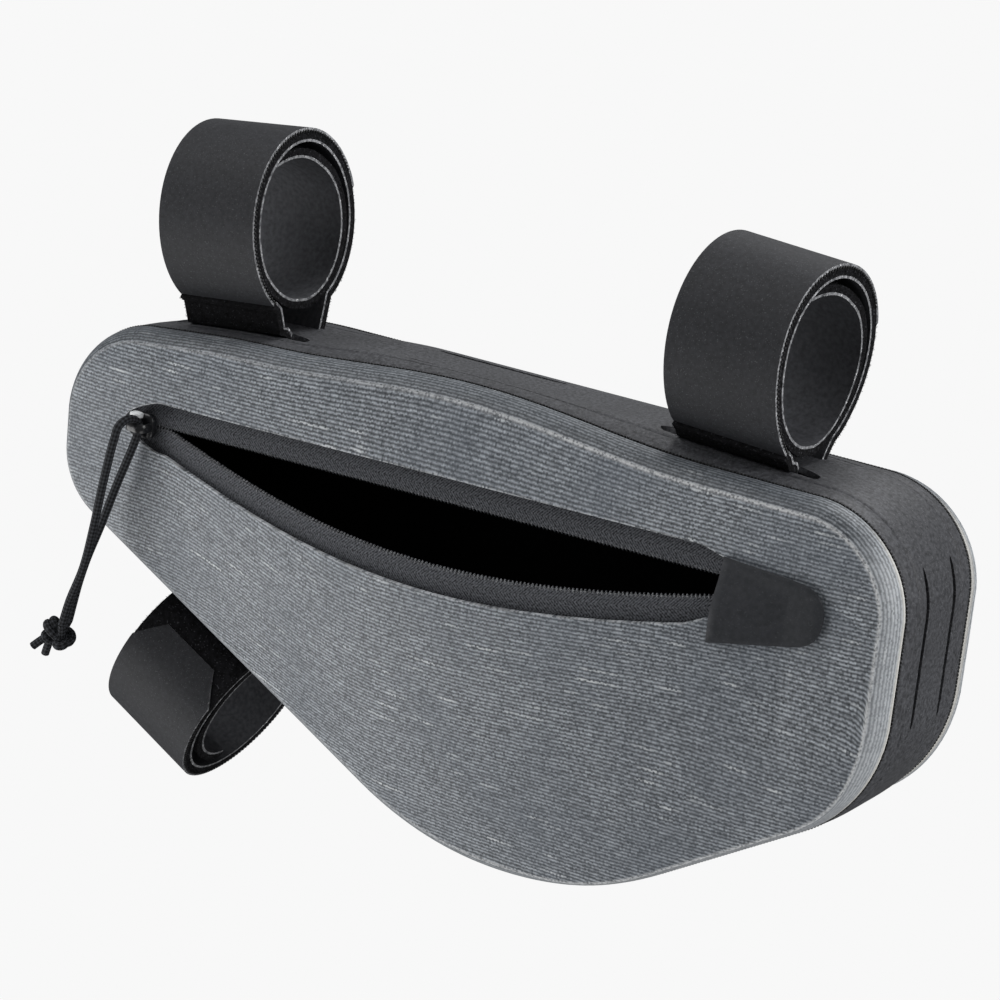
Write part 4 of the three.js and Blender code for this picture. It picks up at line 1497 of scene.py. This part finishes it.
@dataclass
class PullCord:
    """The slider's pull cord: a doubled cord of one loop, knotted at its end."""

    form: BagForm
    slider_x: float = -102.5
    slider_proud: float = 1.1
    bridge_rise: float = 2.8
    gap: float = 0.3
    radius: float = 1.2
    front_length: float = 73.7
    back_length: float = 63.6
    strand_steps: int = 160
    line_steps: int = 32
    # From the bridge's hole: how far along the bag, out to the front and up
    front_loop: tuple[Point, ...] = (
        (0.0, -0.05, 0.9), (-0.2, 1.26, 2.0), (-0.5, 4.2, 2.7), (-0.9, 7.35, 1.1), (-1.4, 8.4, -2.6),
    )
    back_loop: tuple[Point, ...] = ((0.0, 0.0, -1.8), (-0.9, 0.4, -5.4375))
    # Places on the bag, further down each strand
    front_fall: tuple[Point, ...] = (
        (-106.5, -39.1, -45.0), (-109.3, -38.9, -59.5), (-112.3, -38.6, -71.6), (-116.8, -38.4, -82.8),
    )
    back_fall: tuple[Point, ...] = (
        (-107.8, -31.8, -47.5), (-111.7, -32.7, -59.9), (-115.4, -33.5, -70.6), (-117.2, -34.3, -78.0),
        (-118.3, -34.8, -84.0),
    )
    knot_centre: Point = (-121.6, -37.0, -94.4)
    knot_reach: float = 5.2
    knot_front: Point = (3.2, -1.9, 4.6)
    knot_back: Point = (2.2, 2.1, 4.6)
    tails: tuple[Point, Point] = ((-130.2, -37.8, -100.4), (-126.9, -36.0, -102.2))
    # The knot's turns: across, up and deep, how far they sink, and how far the strands lie apart
    knot_size: Point = (1.6, 0.66, 1.7)
    knot_sink: float = 0.2
    knot_apart: Pair = (1.0, 0.4)
    knot_open: float = 0.35
    knot_points: int = 22
    knot_steps: int = 180

    def __post_init__(self) -> None:
        """Finds the hole in the slider's bridge."""
        self.slider_z = self.form.zip_line(self.slider_x)
        self.slider_face = -(self.form.front_out(self.slider_x, self.slider_z) + self.slider_proud)
        self.hole_y = self.slider_face - self.bridge_rise / 2

    def landing(self, side: Point) -> Vector:
        """Where a strand meets the knot."""
        return Vector(self.knot_centre) + Vector(side).normalized() * self.knot_reach

    def route(self, steps: Sequence[Point], fall: Sequence[Point], side: Point) -> list[Vector]:
        """Works out a strand's way from the bridge to the knot.

        Args:
            steps: Its way through the bridge, as steps from the hole.
            fall: Places further down.
            side: The side of the knot that it meets.

        Returns:
            The points that it passes through.
        """
        x, y, z = self.slider_x, self.hole_y, self.slider_z
        near = [(x + along, y - out, z + up) for along, out, up in steps]
        return [*map(Vector, (*near, *fall)), self.landing(side)]

    def front_route(self) -> list[Vector]:
        """The strand that rises through the bridge and falls in front of it."""
        return self.route(((0.0, 0.0, self.gap / 2), *self.front_loop), self.front_fall, self.knot_front)

    def back_route(self) -> list[Vector]:
        """The strand that falls straight from the bridge."""
        return self.route(((0.0, 0.0, -self.gap / 2), *self.back_loop), self.back_fall, self.knot_back)

    def strand(self, name: str, route: Sequence[Vector], length: float) -> None:
        """Args:
            name: The CAD node that it stands for.
            route: The points that it passes through.
            length: Its length in millimetres; not used.
        """
        sheet = Sheet()
        lay_cord(sheet, spline(route, self.strand_steps), self.radius)
        piece = hand_over(sheet.piece(f"{name}_braid", BRAID), "braided_cord", name)
        line = [Vector((p.x, p.y, p.z - TOP_CROWN)) * MM for p in spline(route, self.line_steps)]
        tuple(line[0])
        [tuple(point) for point in line]

    def knot_turns(self, lean: float) -> list[Vector]:
        """The turns of one strand in the knot.

        Args:
            lean: 1 for the front strand, -1 for the back one.

        Returns:
            Points on its centre line.
        """
        axis = (Vector(self.knot_front) + Vector(self.knot_back)).normalized()
        across = axis.cross(Vector((0.0, -1.0, 0.0))).normalized()
        depth = axis.cross(across).normalized()
        wide, tall, deep = self.knot_size
        turns = []
        for i in range(self.knot_points):
            t = lerp(self.knot_open, 2 * math.pi - self.knot_open, i / (self.knot_points - 1))
            swing = math.sin(t) + 2 * math.sin(2 * t)
            rise = math.cos(t) - 2 * math.cos(2 * t)
            turns.append(
                Vector(self.knot_centre)
                + across * (swing * wide)
                + axis * (rise * tall - self.knot_sink + lean * self.knot_apart[1])
                + depth * (lean * self.knot_apart[0] - math.sin(3 * t) * deep)
            )
        return turns

    def knot(self) -> Piece:
        """Builds the overhand knot of the doubled cord with its two cut tails, and hands it over."""
        sheet = Sheet()
        for side, tail, lean in zip((self.knot_front, self.knot_back), self.tails, (1.0, -1.0)):
            path = [self.landing(side), *self.knot_turns(lean), Vector(tail)]
            lay_cord(sheet, spline(path, self.knot_steps), self.radius)
        return hand_over(sheet.piece("cord_overhand_knot", BRAID), "braided_cord", "pull_cord_knot")

    def build(self) -> None:
        """Builds the knot and the two strands."""
        knot = self.knot()
        self.strand("pull_cord_front", self.front_route(), self.front_length)
        self.strand("pull_cord_back", self.back_route(), self.back_length)


class PileTree(PieceTree):
    """A geometry tree that sets small loops of yarn on a surface where its value asks for them."""

    NAME = "loop_pile"
    KINDS = {"Density": "Float", "Height": "Float", "Yarn": "Float", "Seed": "Int", "Finish": "Material"}
    YARN_SHARE = 0.07

    def instances(self, add: Adder, given: Any) -> Node:
        """Adds the scattered places, a loop of yarn, and its turn and size at each.

        Args:
            add: Adds a node to the tree.
            given: The tree's inputs.

        Returns:
            The node that sets the loops.
        """
        seed = given["Seed"]
        asked = add("GeometryNodeInputNamedAttribute", {"Name": "pile"}, data_type="FLOAT")
        thick = add(MATH, [asked, given["Density"]], operation="MULTIPLY")
        scatter = {"Mesh": given["Ground"], "Density": thick, "Seed": seed}
        spots = add("GeometryNodeDistributePointsOnFaces", scatter).outputs
        bend = {"Start": (-0.35, 0.0, -0.1), "Middle": (0.1, 0.0, 2.0), "End": (0.5, 0.0, 0.1)}
        loop = add("GeometryNodeCurveQuadraticBezier", {"Resolution": 3, **bend})
        yarn = add("GeometryNodeCurvePrimitiveCircle", {"Resolution": 3, "Radius": given["Yarn"]})
        tube = add("GeometryNodeCurveToMesh", {"Curve": loop, "Profile Curve": yarn})
        angles = {0: (-0.5, -0.5, -3.14), 1: (0.5, 0.5, 3.14), "Seed": seed}
        spin = add("FunctionNodeRandomValue", angles, data_type="FLOAT_VECTOR")
        turned = add("FunctionNodeRotateRotation", [spots["Rotation"], spin], rotation_space="LOCAL")
        size = add("FunctionNodeRandomValue", {2: 0.6, 3: 1.25, "Seed": seed}, data_type="FLOAT").outputs[1]
        scale = add(MATH, [size, given["Height"]], operation="MULTIPLY")
        return add(
            "GeometryNodeInstanceOnPoints",
            {"Points": spots["Points"], "Instance": tube, "Rotation": turned, "Scale": scale},
        )

    def cover(self, ground: Piece, density: float, height: float, seed: int) -> Piece:
        """Turns a bare ground sheet into its pile.

        Args:
            ground: A sheet with a value named pile.
            density: Loops to the square millimetre where the value is 1.
            height: A loop's height.
            seed: The seed for its scatter.

        Returns:
            The piece, a plain mesh.
        """
        sizes = {"Density": density / MM**2, "Height": height * MM, "Yarn": self.YARN_SHARE}
        return self.run(ground, **sizes, Seed=seed, Finish=PILE.material())


@dataclass
class StrapRoll:
    """A strap: a loop tape threaded through the band and rolled up, and a hook tape over it."""

    form: BagForm
    pile: PileTree
    rows: RowTree
    name: str
    x: float
    upper: bool
    mirrored: bool
    stand: float
    slack: float
    end: float
    tilt: float
    yaw: float
    seed: int
    width: float = 33.0
    across: int = 11
    hook_radius: float = 26.3
    layer_pitch: float = 2.1
    squeeze: float = 0.88
    foot: float = 6.0
    angle_step: float = 4.0
    # The hook tape: the angle that it starts at, its clipped tip and where that is pressed into the pile
    hook_from: float = -37.5
    hook_wall: float = 0.8
    tip_length: float = 9.0
    tip_share: float = 0.6
    tip_press: float = 0.5
    press_angle: float = 25.0
    # The loop tape: its layers, and the angles that its stub and its turns run between
    backing_wall: float = 0.7
    backing_lift: float = -1.0
    pile_wall: float = 2.0
    pile_lift: float = 0.35
    stub_span: Pair = (-37.0, -31.0)
    outer_span: Pair = (30.0, 300.0)
    step_span: Pair = (306.0, 352.0)
    step_in: float = 0.4
    near_span: Pair = (360.0, 430.0)
    far_span: Pair = (434.0, 508.0)
    tail_from: float = 512.0
    inner_end: float = 588.0
    inner_slack: Pair = (1.9, 3.3)
    end_slack: float = 0.9
    end_slant: float = 4.2
    slant_points: int = 24
    # Beads that show as hooks at the hook tape's edges, as far as its tip
    hook_spacing: float = 1.15
    hook_size: Point = (0.8, 1.0, 0.9)
    hook_sink: float = 0.7
    tip_points: int = 8
    # Bare pile, by the length still to run: the stub's, and from the slit to the hook tape's tip
    loop_height: float = 0.4
    loop_density: float = 2.8
    stub_pile: float = 15.0
    bare_from: float = 22.0
    bare_margin: float = 15.0
    # Bends at the slits: how far past a slit, and how far above the band or the run under it
    way_in: tuple[Pair, ...] = ((-3.0, 1.3), (-0.9, 0.85), (0.0, -0.2))
    way_under: tuple[Pair, ...] = ((0.0, 1.0), (0.9, 0.0))
    way_out: tuple[Pair, ...] = ((0.0, -0.2), (0.6, 1.2))
    slit_y: float = 7.4
    band_wall: float = 1.6
    gap: float = 0.3
    cad_wall: float = 1.5

    def __post_init__(self) -> None:
        """Finds the strap's place on the outline and the middle of its roll."""
        self.middle = self.form.outline.length_at_x(self.x, self.upper) % self.form.outline.length
        self.spot = self.form.outline.at(self.middle)
        crown = self.form.crown(self.spot)
        self.outer_turn = self.hook_radius - self.layer_pitch
        self.inner_turn = self.outer_turn - self.layer_pitch
        self.centre = crown + self.gap + self.cad_wall / 2 + self.inner_turn + self.stand
        self.outside = self.form.band_out(crown, self.slit_y)
        self.under = self.outside - self.band_wall - self.gap - self.cad_wall / 2 - self.slack

    def turn(self, from_angle: float, to_angle: float, from_radius: float, to_radius: float) -> list[Pair]:
        """Points on a turn of the roll.

        Args:
            from_angle: Where it starts, from the band towards the back, in degrees.
            to_angle: Where it ends.
            from_radius: The radius there.
            to_radius: The radius at its end.

        Returns:
            Pairs of place across the band and distance out from its seams.
        """
        steps = max(1, round(abs(to_angle - from_angle) / self.angle_step))
        points = []
        for i in range(steps + 1):
            angle = math.radians(lerp(from_angle, to_angle, i / steps))
            radius = lerp(from_radius, to_radius, i / steps)
            points.append((self.squeeze * radius * math.sin(angle), self.centre - radius * math.cos(angle)))
        return points

    def loop_path(self) -> list[Pair]:
        """The loop tape's path, from inside the roll out to the stub at the front."""
        slit, outside, under = self.slit_y, self.outside, self.under
        outer, inner = self.outer_turn, self.inner_turn
        near, far = self.inner_slack
        path = [
            *self.turn(*self.stub_span, self.hook_radius, self.hook_radius),
            # Down through the front slit, under the band and up through the back one
            *((p - slit, q + outside) for p, q in self.way_in),
            *((p - slit, q + under) for p, q in self.way_under),
            *((slit - p, q + under) for p, q in reversed(self.way_under)),
            *((slit + p, q + outside) for p, q in self.way_out),
            # Once round outside, and on inside with some slack
            *self.turn(*self.outer_span, outer, outer),
            *self.turn(*self.step_span, outer - self.step_in, inner),
            *self.turn(*self.near_span, inner, inner - near),
            *self.turn(*self.far_span, inner - near, inner - far),
            *self.turn(self.tail_from, self.inner_end, inner - far, inner - self.end_slack),
        ]
        return path[::-1]

    def hook_path(self) -> list[Pair]:
        """The hook tape's path, from above the stub to its tip, which is pressed into the pile."""
        pressed = self.end + self.press_angle
        return [
            *self.turn(self.hook_from, pressed, self.hook_radius, self.hook_radius),
            *self.turn(pressed, self.end, self.hook_radius, self.hook_radius - self.tip_press)[1:],
        ]

    def lifted(self, path: Sequence[Pair], lift: float) -> list[Pair]:
        """The path moved out from the roll by a distance."""
        moved = []
        for i, (p, q) in enumerate(path):
            before, after = path[max(0, i - 1)], path[min(len(path) - 1, i + 1)]
            dp, dq = after[0] - before[0], after[1] - before[1]
            size = math.hypot(dp, dq) or 1.0
            moved.append((p - lift * dq / size, q + lift * dp / size))
        return moved

    def place(self, p: float, q: float, across: float) -> Point:
        """A point of the strap.

        Args:
            p: The place across the band.
            q: The distance out from its seams.
            across: The place across the strap.

        Returns:
            The point.
        """
        angle = math.atan2(self.spot.nz, self.spot.nx) + math.radians(self.tilt)
        nx, nz = math.cos(angle), math.sin(angle)
        share = clamp((q - self.foot) / (2 * self.hook_radius - self.foot))
        turn = math.radians(self.yaw) * share
        along = across * math.cos(turn) - p * math.sin(turn)
        y = (p * math.cos(turn) + across * math.sin(turn)) * (-1 if self.mirrored else 1)
        return self.spot.x + along * nz + q * nx, y, self.spot.z - along * nx + q * nz

    def slanted(self, across: float, index: int) -> float:
        """The place across the loop tape, whose inner end is cut on a slant at the bag's deep end.

        Args:
            across: The place across a tape with square ends.
            index: The point's number along the tape's path.

        Returns:
            The place across.
        """
        left = clamp(1 - index / self.slant_points)
        deep = math.copysign(1.0, self.spot.nz)
        return across - deep * self.end_slant * left * left * (0.5 + deep * across / self.width)

    def ribbon(
        self,
        path: Sequence[Pair],
        share_at: Callable[[float], float] = lambda left: 1.0,
        moved: Callable[[float, int], float] = lambda across, index: across,
        pile_at: Callable[[float], float] | None = None,
    ) -> Sheet:
        """Lays a ribbon along a path.

        Args:
            path: The path across the band and out from it.
            share_at: The share of the full width, by the length still to run.
            moved: Moves a place across the ribbon, by point of the path.
            pile_at: How thick its pile stands, by the length still to run.

        Returns:
            The ribbon's sheet.
        """
        runs = [0.0]
        for (p0, q0), (p1, q1) in zip(path, path[1:]):
            runs.append(runs[-1] + math.hypot(p1 - p0, q1 - q0))
        rows = []
        for i, ((p, q), run) in enumerate(zip(path, runs)):
            left = runs[-1] - run
            half = self.width / 2 * share_at(left)
            values = {"pile": pile_at(left)} if pile_at else {}
            row = []
            for k in range(self.across):
                across = moved(half * (2 * k / (self.across - 1) - 1), i)
                row.append((self.place(p, q, across), (run, across), values))
            rows.append(row)
        sheet = Sheet()
        sheet.lay(rows, flip=self.mirrored)
        return sheet

    def hook(self) -> None:
        """Builds the hook tape and hands it over."""

        def share_at(left: float) -> float:
            """The share of the full width at a clipped tip."""
            return lerp(self.tip_share, 1.0, clamp(left / self.tip_length))

        sheet = self.ribbon(self.hook_path(), share_at)
        piece = sheet.piece(f"{self.name}_hook_tape", STRAP_FACE, PILE, CUT_EDGE)
        thicken(piece, self.hook_wall, 0.0, lining=1, rim=2)
        hand_over(piece, "hook_tape", f"{self.name}_hook")

    def hooks(self) -> None:
        """Builds the hooks that show along the hook tape's two edges, and hands them over."""
        path = self.lifted(self.hook_path(), -self.hook_wall * self.hook_sink)[: -self.tip_points]
        lines = []
        for side in (-1, 1):
            facing = (side * self.spot.nz, 0.0, -side * self.spot.nx)
            lines.append([(self.place(p, q, side * self.width / 2), facing) for p, q in path])
        piece = self.rows.along(f"{self.name}_hooks", lines, self.hook_spacing, self.hook_size, THREAD)
        hand_over(piece, "hook_tape")

    def sides(self, sheet: Sheet, path: Sequence[Pair]) -> None:
        """Adds the two narrow sides of the pile, where its loops stand out.

        Args:
            sheet: The sheet to add them to.
            path: The loop tape's path.
        """
        for side in (-1, 1):
            rows = []
            for lift in (self.pile_lift - self.pile_wall / 2, self.pile_lift + self.pile_wall / 2):
                row = []
                for i, (p, q) in enumerate(self.lifted(path, lift)):
                    across = self.slanted(side * self.width / 2, i)
                    row.append((self.place(p, q, across), (0.0, 0.0), {"pile": 1.0}))
                rows.append(row)
            sheet.lay(rows, flip=(side < 0) != self.mirrored)

    def loop(self) -> None:
        """Builds the loop tape's backing, its napped layer and the loops that stand on it."""
        path = self.loop_path()
        backing = self.ribbon(self.lifted(path, self.backing_lift), moved=self.slanted)
        backing = backing.piece(f"{self.name}_backing", STRAP_BACK, STRAP_BACK, CUT_EDGE)
        thicken(backing, self.backing_wall, 0.0, lining=1, rim=2)
        hand_over(backing, "loop_fuzz", f"{self.name}_loop")
        napped = self.ribbon(self.lifted(path, self.pile_lift), moved=self.slanted)
        hand_over(thicken(napped.piece(f"{self.name}_nap", PILE), self.pile_wall, 0.0), "loop_fuzz")
        bare_angle = math.radians(360 + self.end - self.bare_margin)
        bare_to = self.bare_from + bare_angle * self.outer_turn

        def pile_at(left: float) -> float:
            """1 where no hook tape covers the pile, by the length still to run."""
            return 1.0 if left < self.stub_pile or self.bare_from < left < bare_to else 0.0

        top = self.lifted(path, self.pile_lift + self.pile_wall / 2)
        sheet = self.ribbon(top, moved=self.slanted, pile_at=pile_at)
        self.sides(sheet, path)
        ground = sheet.piece(f"{self.name}_loops", PILE)
        hand_over(self.pile.cover(ground, self.loop_density, self.loop_height, self.seed), "loop_fuzz")

    def build(self) -> None:
        """Builds the strap's two tapes."""
        self.loop()
        self.hook()
        self.hooks()


@dataclass
class Slider:
    """The zip's slider: a waisted plate with a bridge that the cord runs through."""

    cord: PullCord
    length: float = 7.6
    height: float = 8.0
    thick: float = 2.4
    waist: float = 0.1
    # The plate's turned-over edge: the share of its half size, and how far back it lies
    edge: tuple[Pair, ...] = ((0.0, 0.0), (0.6, 0.0), (0.88, 0.1), (0.97, 0.35), (1.0, 0.8))
    plate_square: float = 3.2
    plate_sides: int = 40
    leg: float = 1.4
    hole: float = 4.4
    rise: float = 2.8
    width: float = 2.6
    # The bridge's root in the plate, and its bend as shares of its half width and its height
    root: float = 0.7
    bend: tuple[Pair, ...] = ((1.0, 0.55), (0.72, 0.93))
    bridge_square: float = 3.0
    bridge_sides: int = 12
    bridge_steps: int = 28
    nose_place: Point = (-1.1, -1.1, 3.1)
    nose_half: Point = (1.8, 1.3, 0.9)
    nose_square: float = 5.0
    nose_sides: int = 16
    nose_rings: int = 10
    crease: float = 50.0

    def plate(self, sheet: Sheet) -> None:
        """Adds the rounded plate, with its front edge turned over."""
        x0, z0, face = self.cord.slider_x, self.cord.slider_z, self.cord.slider_face
        profile = [*self.edge, *((share, self.thick - depth) for share, depth in reversed(self.edge))]
        rows = []
        for r, (share, depth) in enumerate(profile):
            row = []
            for k, angle in enumerate(ring(self.plate_sides)):
                c, s = math.cos(angle), math.sin(angle)
                reach = share * squared((c, s), self.plate_square)
                x = x0 + reach * self.length / 2 * c
                z = z0 + reach * self.height / 2 * s * (1 - self.waist * (1 - abs(c)))
                row.append(((x, face + depth, z), (k, r), {}))
            rows.append(row)
        sheet.lay(rows, flip=True)

    def bridge(self, sheet: Sheet) -> None:
        """Adds the bridge: a rounded bar bent over the plate's front."""
        x0, z0, face = self.cord.slider_x, self.cord.slider_z, self.cord.slider_face
        half, top = self.hole / 2 + self.leg / 2, self.rise + self.leg / 2
        left = [(-half, self.root), *((-half * x, -top * y) for x, y in self.bend)]
        path = [*left, (0.0, -top), *((-x, y) for x, y in reversed(left))]
        line = spline([Vector((x, y, 0.0)) for x, y in path], self.bridge_steps)
        rows = []
        for r, p in enumerate(line):
            ahead = (line[min(r + 1, len(line) - 1)] - line[max(r - 1, 0)]).normalized()
            row = []
            for k, angle in enumerate(ring(self.bridge_sides)):
                c, s = math.cos(angle), math.sin(angle)
                reach = squared((c, s), self.bridge_square)
                spot = p + Vector((ahead.y, -ahead.x, 0.0)) * (c * reach * self.leg / 2)
                row.append(((x0 + spot.x, face + spot.y, z0 + s * reach * self.width / 2), (k, r), {}))
            rows.append(row)
        sheet.lay(rows)

    def nose(self) -> None:
        """Builds the bridge's rounded nose above the cord, pale as a painted highlight, and hands it over.
        """
        start = (self.cord.slider_x, self.cord.slider_face, self.cord.slider_z)
        rows = []
        for r in range(self.nose_rings + 1):
            rise = math.pi * (r / self.nose_rings - 0.5)
            row = []
            for k, turn in enumerate(ring(self.nose_sides)):
                way = (math.cos(rise) * math.cos(turn), math.cos(rise) * math.sin(turn), math.sin(rise))
                reach = squared(way, self.nose_square)
                sizes = zip(start, self.nose_place, self.nose_half, way)
                row.append((tuple(a + b + half * part * reach for a, b, half, part in sizes), (k, r), {}))
            rows.append(row)
        sheet = Sheet()
        sheet.lay(rows)
        hand_over(sheet.piece("slider_nose", ZINC), "slider_metal")

    def build(self) -> Piece:
        """Builds the slider and hands it over."""
        self.nose()
        sheet = Sheet()
        self.plate(sheet)
        self.bridge(sheet)
        piece = sheet.piece("slider_casting", LACQUER)
        piece.data.set_sharp_from_angle(angle=math.radians(self.crease))
        return hand_over(piece, "slider_metal", "zip_slider")


@dataclass(frozen=True)
class SoftLight:
    """A soft box: where it stands, its width, its power and where it points."""

    name: str
    place: Point
    width: float
    power: float
    aim: Point = (0.0, 0.0, -0.03)

    def build(self) -> None:
        """Hangs the light and turns it to the bag."""
        lamp = bpy.data.lights.new(self.name, "AREA")
        lamp.shape = "DISK"
        lamp.size = self.width
        lamp.energy = self.power
        holder = show(self.name, lamp)
        holder.location = self.place
        way = Vector(self.aim) - Vector(self.place)
        holder.rotation_euler = way.to_track_quat("-Z", "Y").to_euler()


@dataclass
class Studio:
    """The camera, the pale sweep and the soft lights."""

    azimuth: float = 32.5
    elevation: float = 16.8
    roll: float = 5.83
    distance: float = 0.8108
    lens: float = 108.0
    sensor: float = 36.0
    view_depth: float = 50.0
    target: Point = (0.0, 0.0, -0.0343)
    sweep_radius: float = 6.0
    sweep_segments: int = 48
    ambient: float = 0.2
    lights: tuple[SoftLight, ...] = (
        SoftLight("over_left", (-0.7, -0.5, 0.95), 1.1, 10.0),
        SoftLight("front_left", (-0.85, -0.65, -0.56), 1.0, 10.2),
        SoftLight("low_right", (0.45, -0.35, -0.85), 0.7, 2.6),
        SoftLight("right_end", (1.3, 0.1, 0.45), 0.8, 16.0),
        SoftLight("behind", (0.05, 0.75, 1.15), 0.9, 16.5),
    )

    def camera(self) -> None:
        """Sets the camera at the viewing angle of the photograph."""
        azimuth, elevation, roll = map(math.radians, (self.azimuth, self.elevation, self.roll))
        back = Vector((
            math.sin(azimuth) * math.cos(elevation),
            -math.cos(azimuth) * math.cos(elevation),
            math.sin(elevation),
        ))
        level = Vector((math.cos(azimuth), math.sin(azimuth), 0.0))
        upright = back.cross(level)
        right = math.cos(roll) * level + math.sin(roll) * upright
        up = math.cos(roll) * upright - math.sin(roll) * level
        data = bpy.data.cameras.new("camera")
        data.lens = self.lens
        data.sensor_width = self.sensor
        data.sensor_fit = "HORIZONTAL"
        data.clip_end = self.view_depth
        camera = show("camera", data)
        turned = Matrix((right, up, back)).transposed().to_4x4()
        camera.matrix_world = Matrix.Translation(Vector(self.target) + back * self.distance) @ turned
        bpy.context.scene.camera = camera

    def sweep(self) -> None:
        """Sets a white sweep round the hanging bag, which is seen but casts no light on it."""
        shell = bmesh.new()
        around = self.sweep_segments
        bmesh.ops.create_uvsphere(shell, u_segments=around, v_segments=around // 2, radius=self.sweep_radius)
        bmesh.ops.reverse_faces(shell, faces=shell.faces)
        mesh = bpy.data.meshes.new("sweep")
        shell.to_mesh(mesh)
        shell.free()
        mesh.materials.append(PaleSweep().material())
        sweep = show("sweep", mesh)
        sweep.visible_diffuse = False
        sweep.visible_glossy = False
        sweep.visible_shadow = False

    def sky(self) -> None:
        """Sets an even white surround."""
        world = bpy.data.worlds.new("surround")
        world.use_nodes = True
        shade = world.node_tree.nodes["Background"]
        feed(world.node_tree, shade, {"Color": linear("#ffffff"), "Strength": self.ambient})
        bpy.context.scene.world = world

    def build(self) -> None:
        """Sets up the studio."""
        self.camera()
        self.sweep()
        self.sky()
        for light in self.lights:
            light.build()
        bpy.context.scene.view_settings.view_transform = "Standard"


def plan_straps(form: BagForm, pile: PileTree, rows: RowTree) -> list[StrapRoll]:
    """Gives the three straps their own sizes.

    Args:
        form: The bag's shape.
        pile: The tree that makes their loops.
        rows: The tree that makes their hooks.

    Returns:
        The left, the right and the lower strap, not yet built.
    """
    strap = partial(StrapRoll, form, pile, rows)
    upper = partial(strap, upper=True, mirrored=False, end=-272.0)
    lower = partial(
        strap, upper=False, mirrored=True, end=-307.0, end_slack=3.0, inner_end=544.0, end_slant=0.0
    )
    return [
        upper(name="strap_left", x=-86.0, stand=6.8, slack=1.8, tilt=0.0, yaw=0.0, seed=3),
        upper(name="strap_right", x=74.5, stand=2.7, slack=0.4, tilt=-2.7, yaw=-6.0, seed=5),
        lower(name="strap_lower", x=-82.5, stand=3.0, slack=0.0, tilt=0.0, yaw=0.0, seed=7),
    ]


def plan_slits(outline: Outline, straps: Sequence[StrapRoll]) -> list[Slit]:
    """Places the pairs of slits in the band.

    Args:
        outline: The bag's outline.
        straps: The left, the right and the lower strap.

    Returns:
        The pairs that the straps go through, and two spare ones, on top and in the right end.
    """
    left, right, lower = (strap.middle for strap in straps)
    on_top = outline.length_at_x(SPARE_TOP_X, True)
    in_end = outline.right_end + SPARE_END_Z - outline.at(outline.right_end).z
    gaping = partial(Slit, half_width=2.1, blunt=2.2, length=47.0, back_share=0.3, gape=1.2)
    spare = partial(Slit, half_width=0.8, blunt=8.0)
    snug = Slit(lower, half_width=2.1, blunt=6.0, length=36.0)
    return [gaping(left), gaping(right), snug, spare(on_top), spare(in_end)]


def main() -> None:
    logging.basicConfig(level=logging.INFO, format="%(name)s %(message)s")
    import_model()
    Studio().build()
    form = BagForm()
    cord = PullCord(form)
    cord.build()
    Slider(cord).build()
    pile, rows = PileTree(), RowTree()
    straps = plan_straps(form, pile, rows)
    for side in Side:
        Wall(form, side).build()
    EdgeBand(form, plan_slits(form.outline, straps)).build()
    SeamStitches(form, rows).build()
    OpenZip(form, rows).build()
    for strap in straps:
        strap.build()


if __name__ == "__main__":
    main()
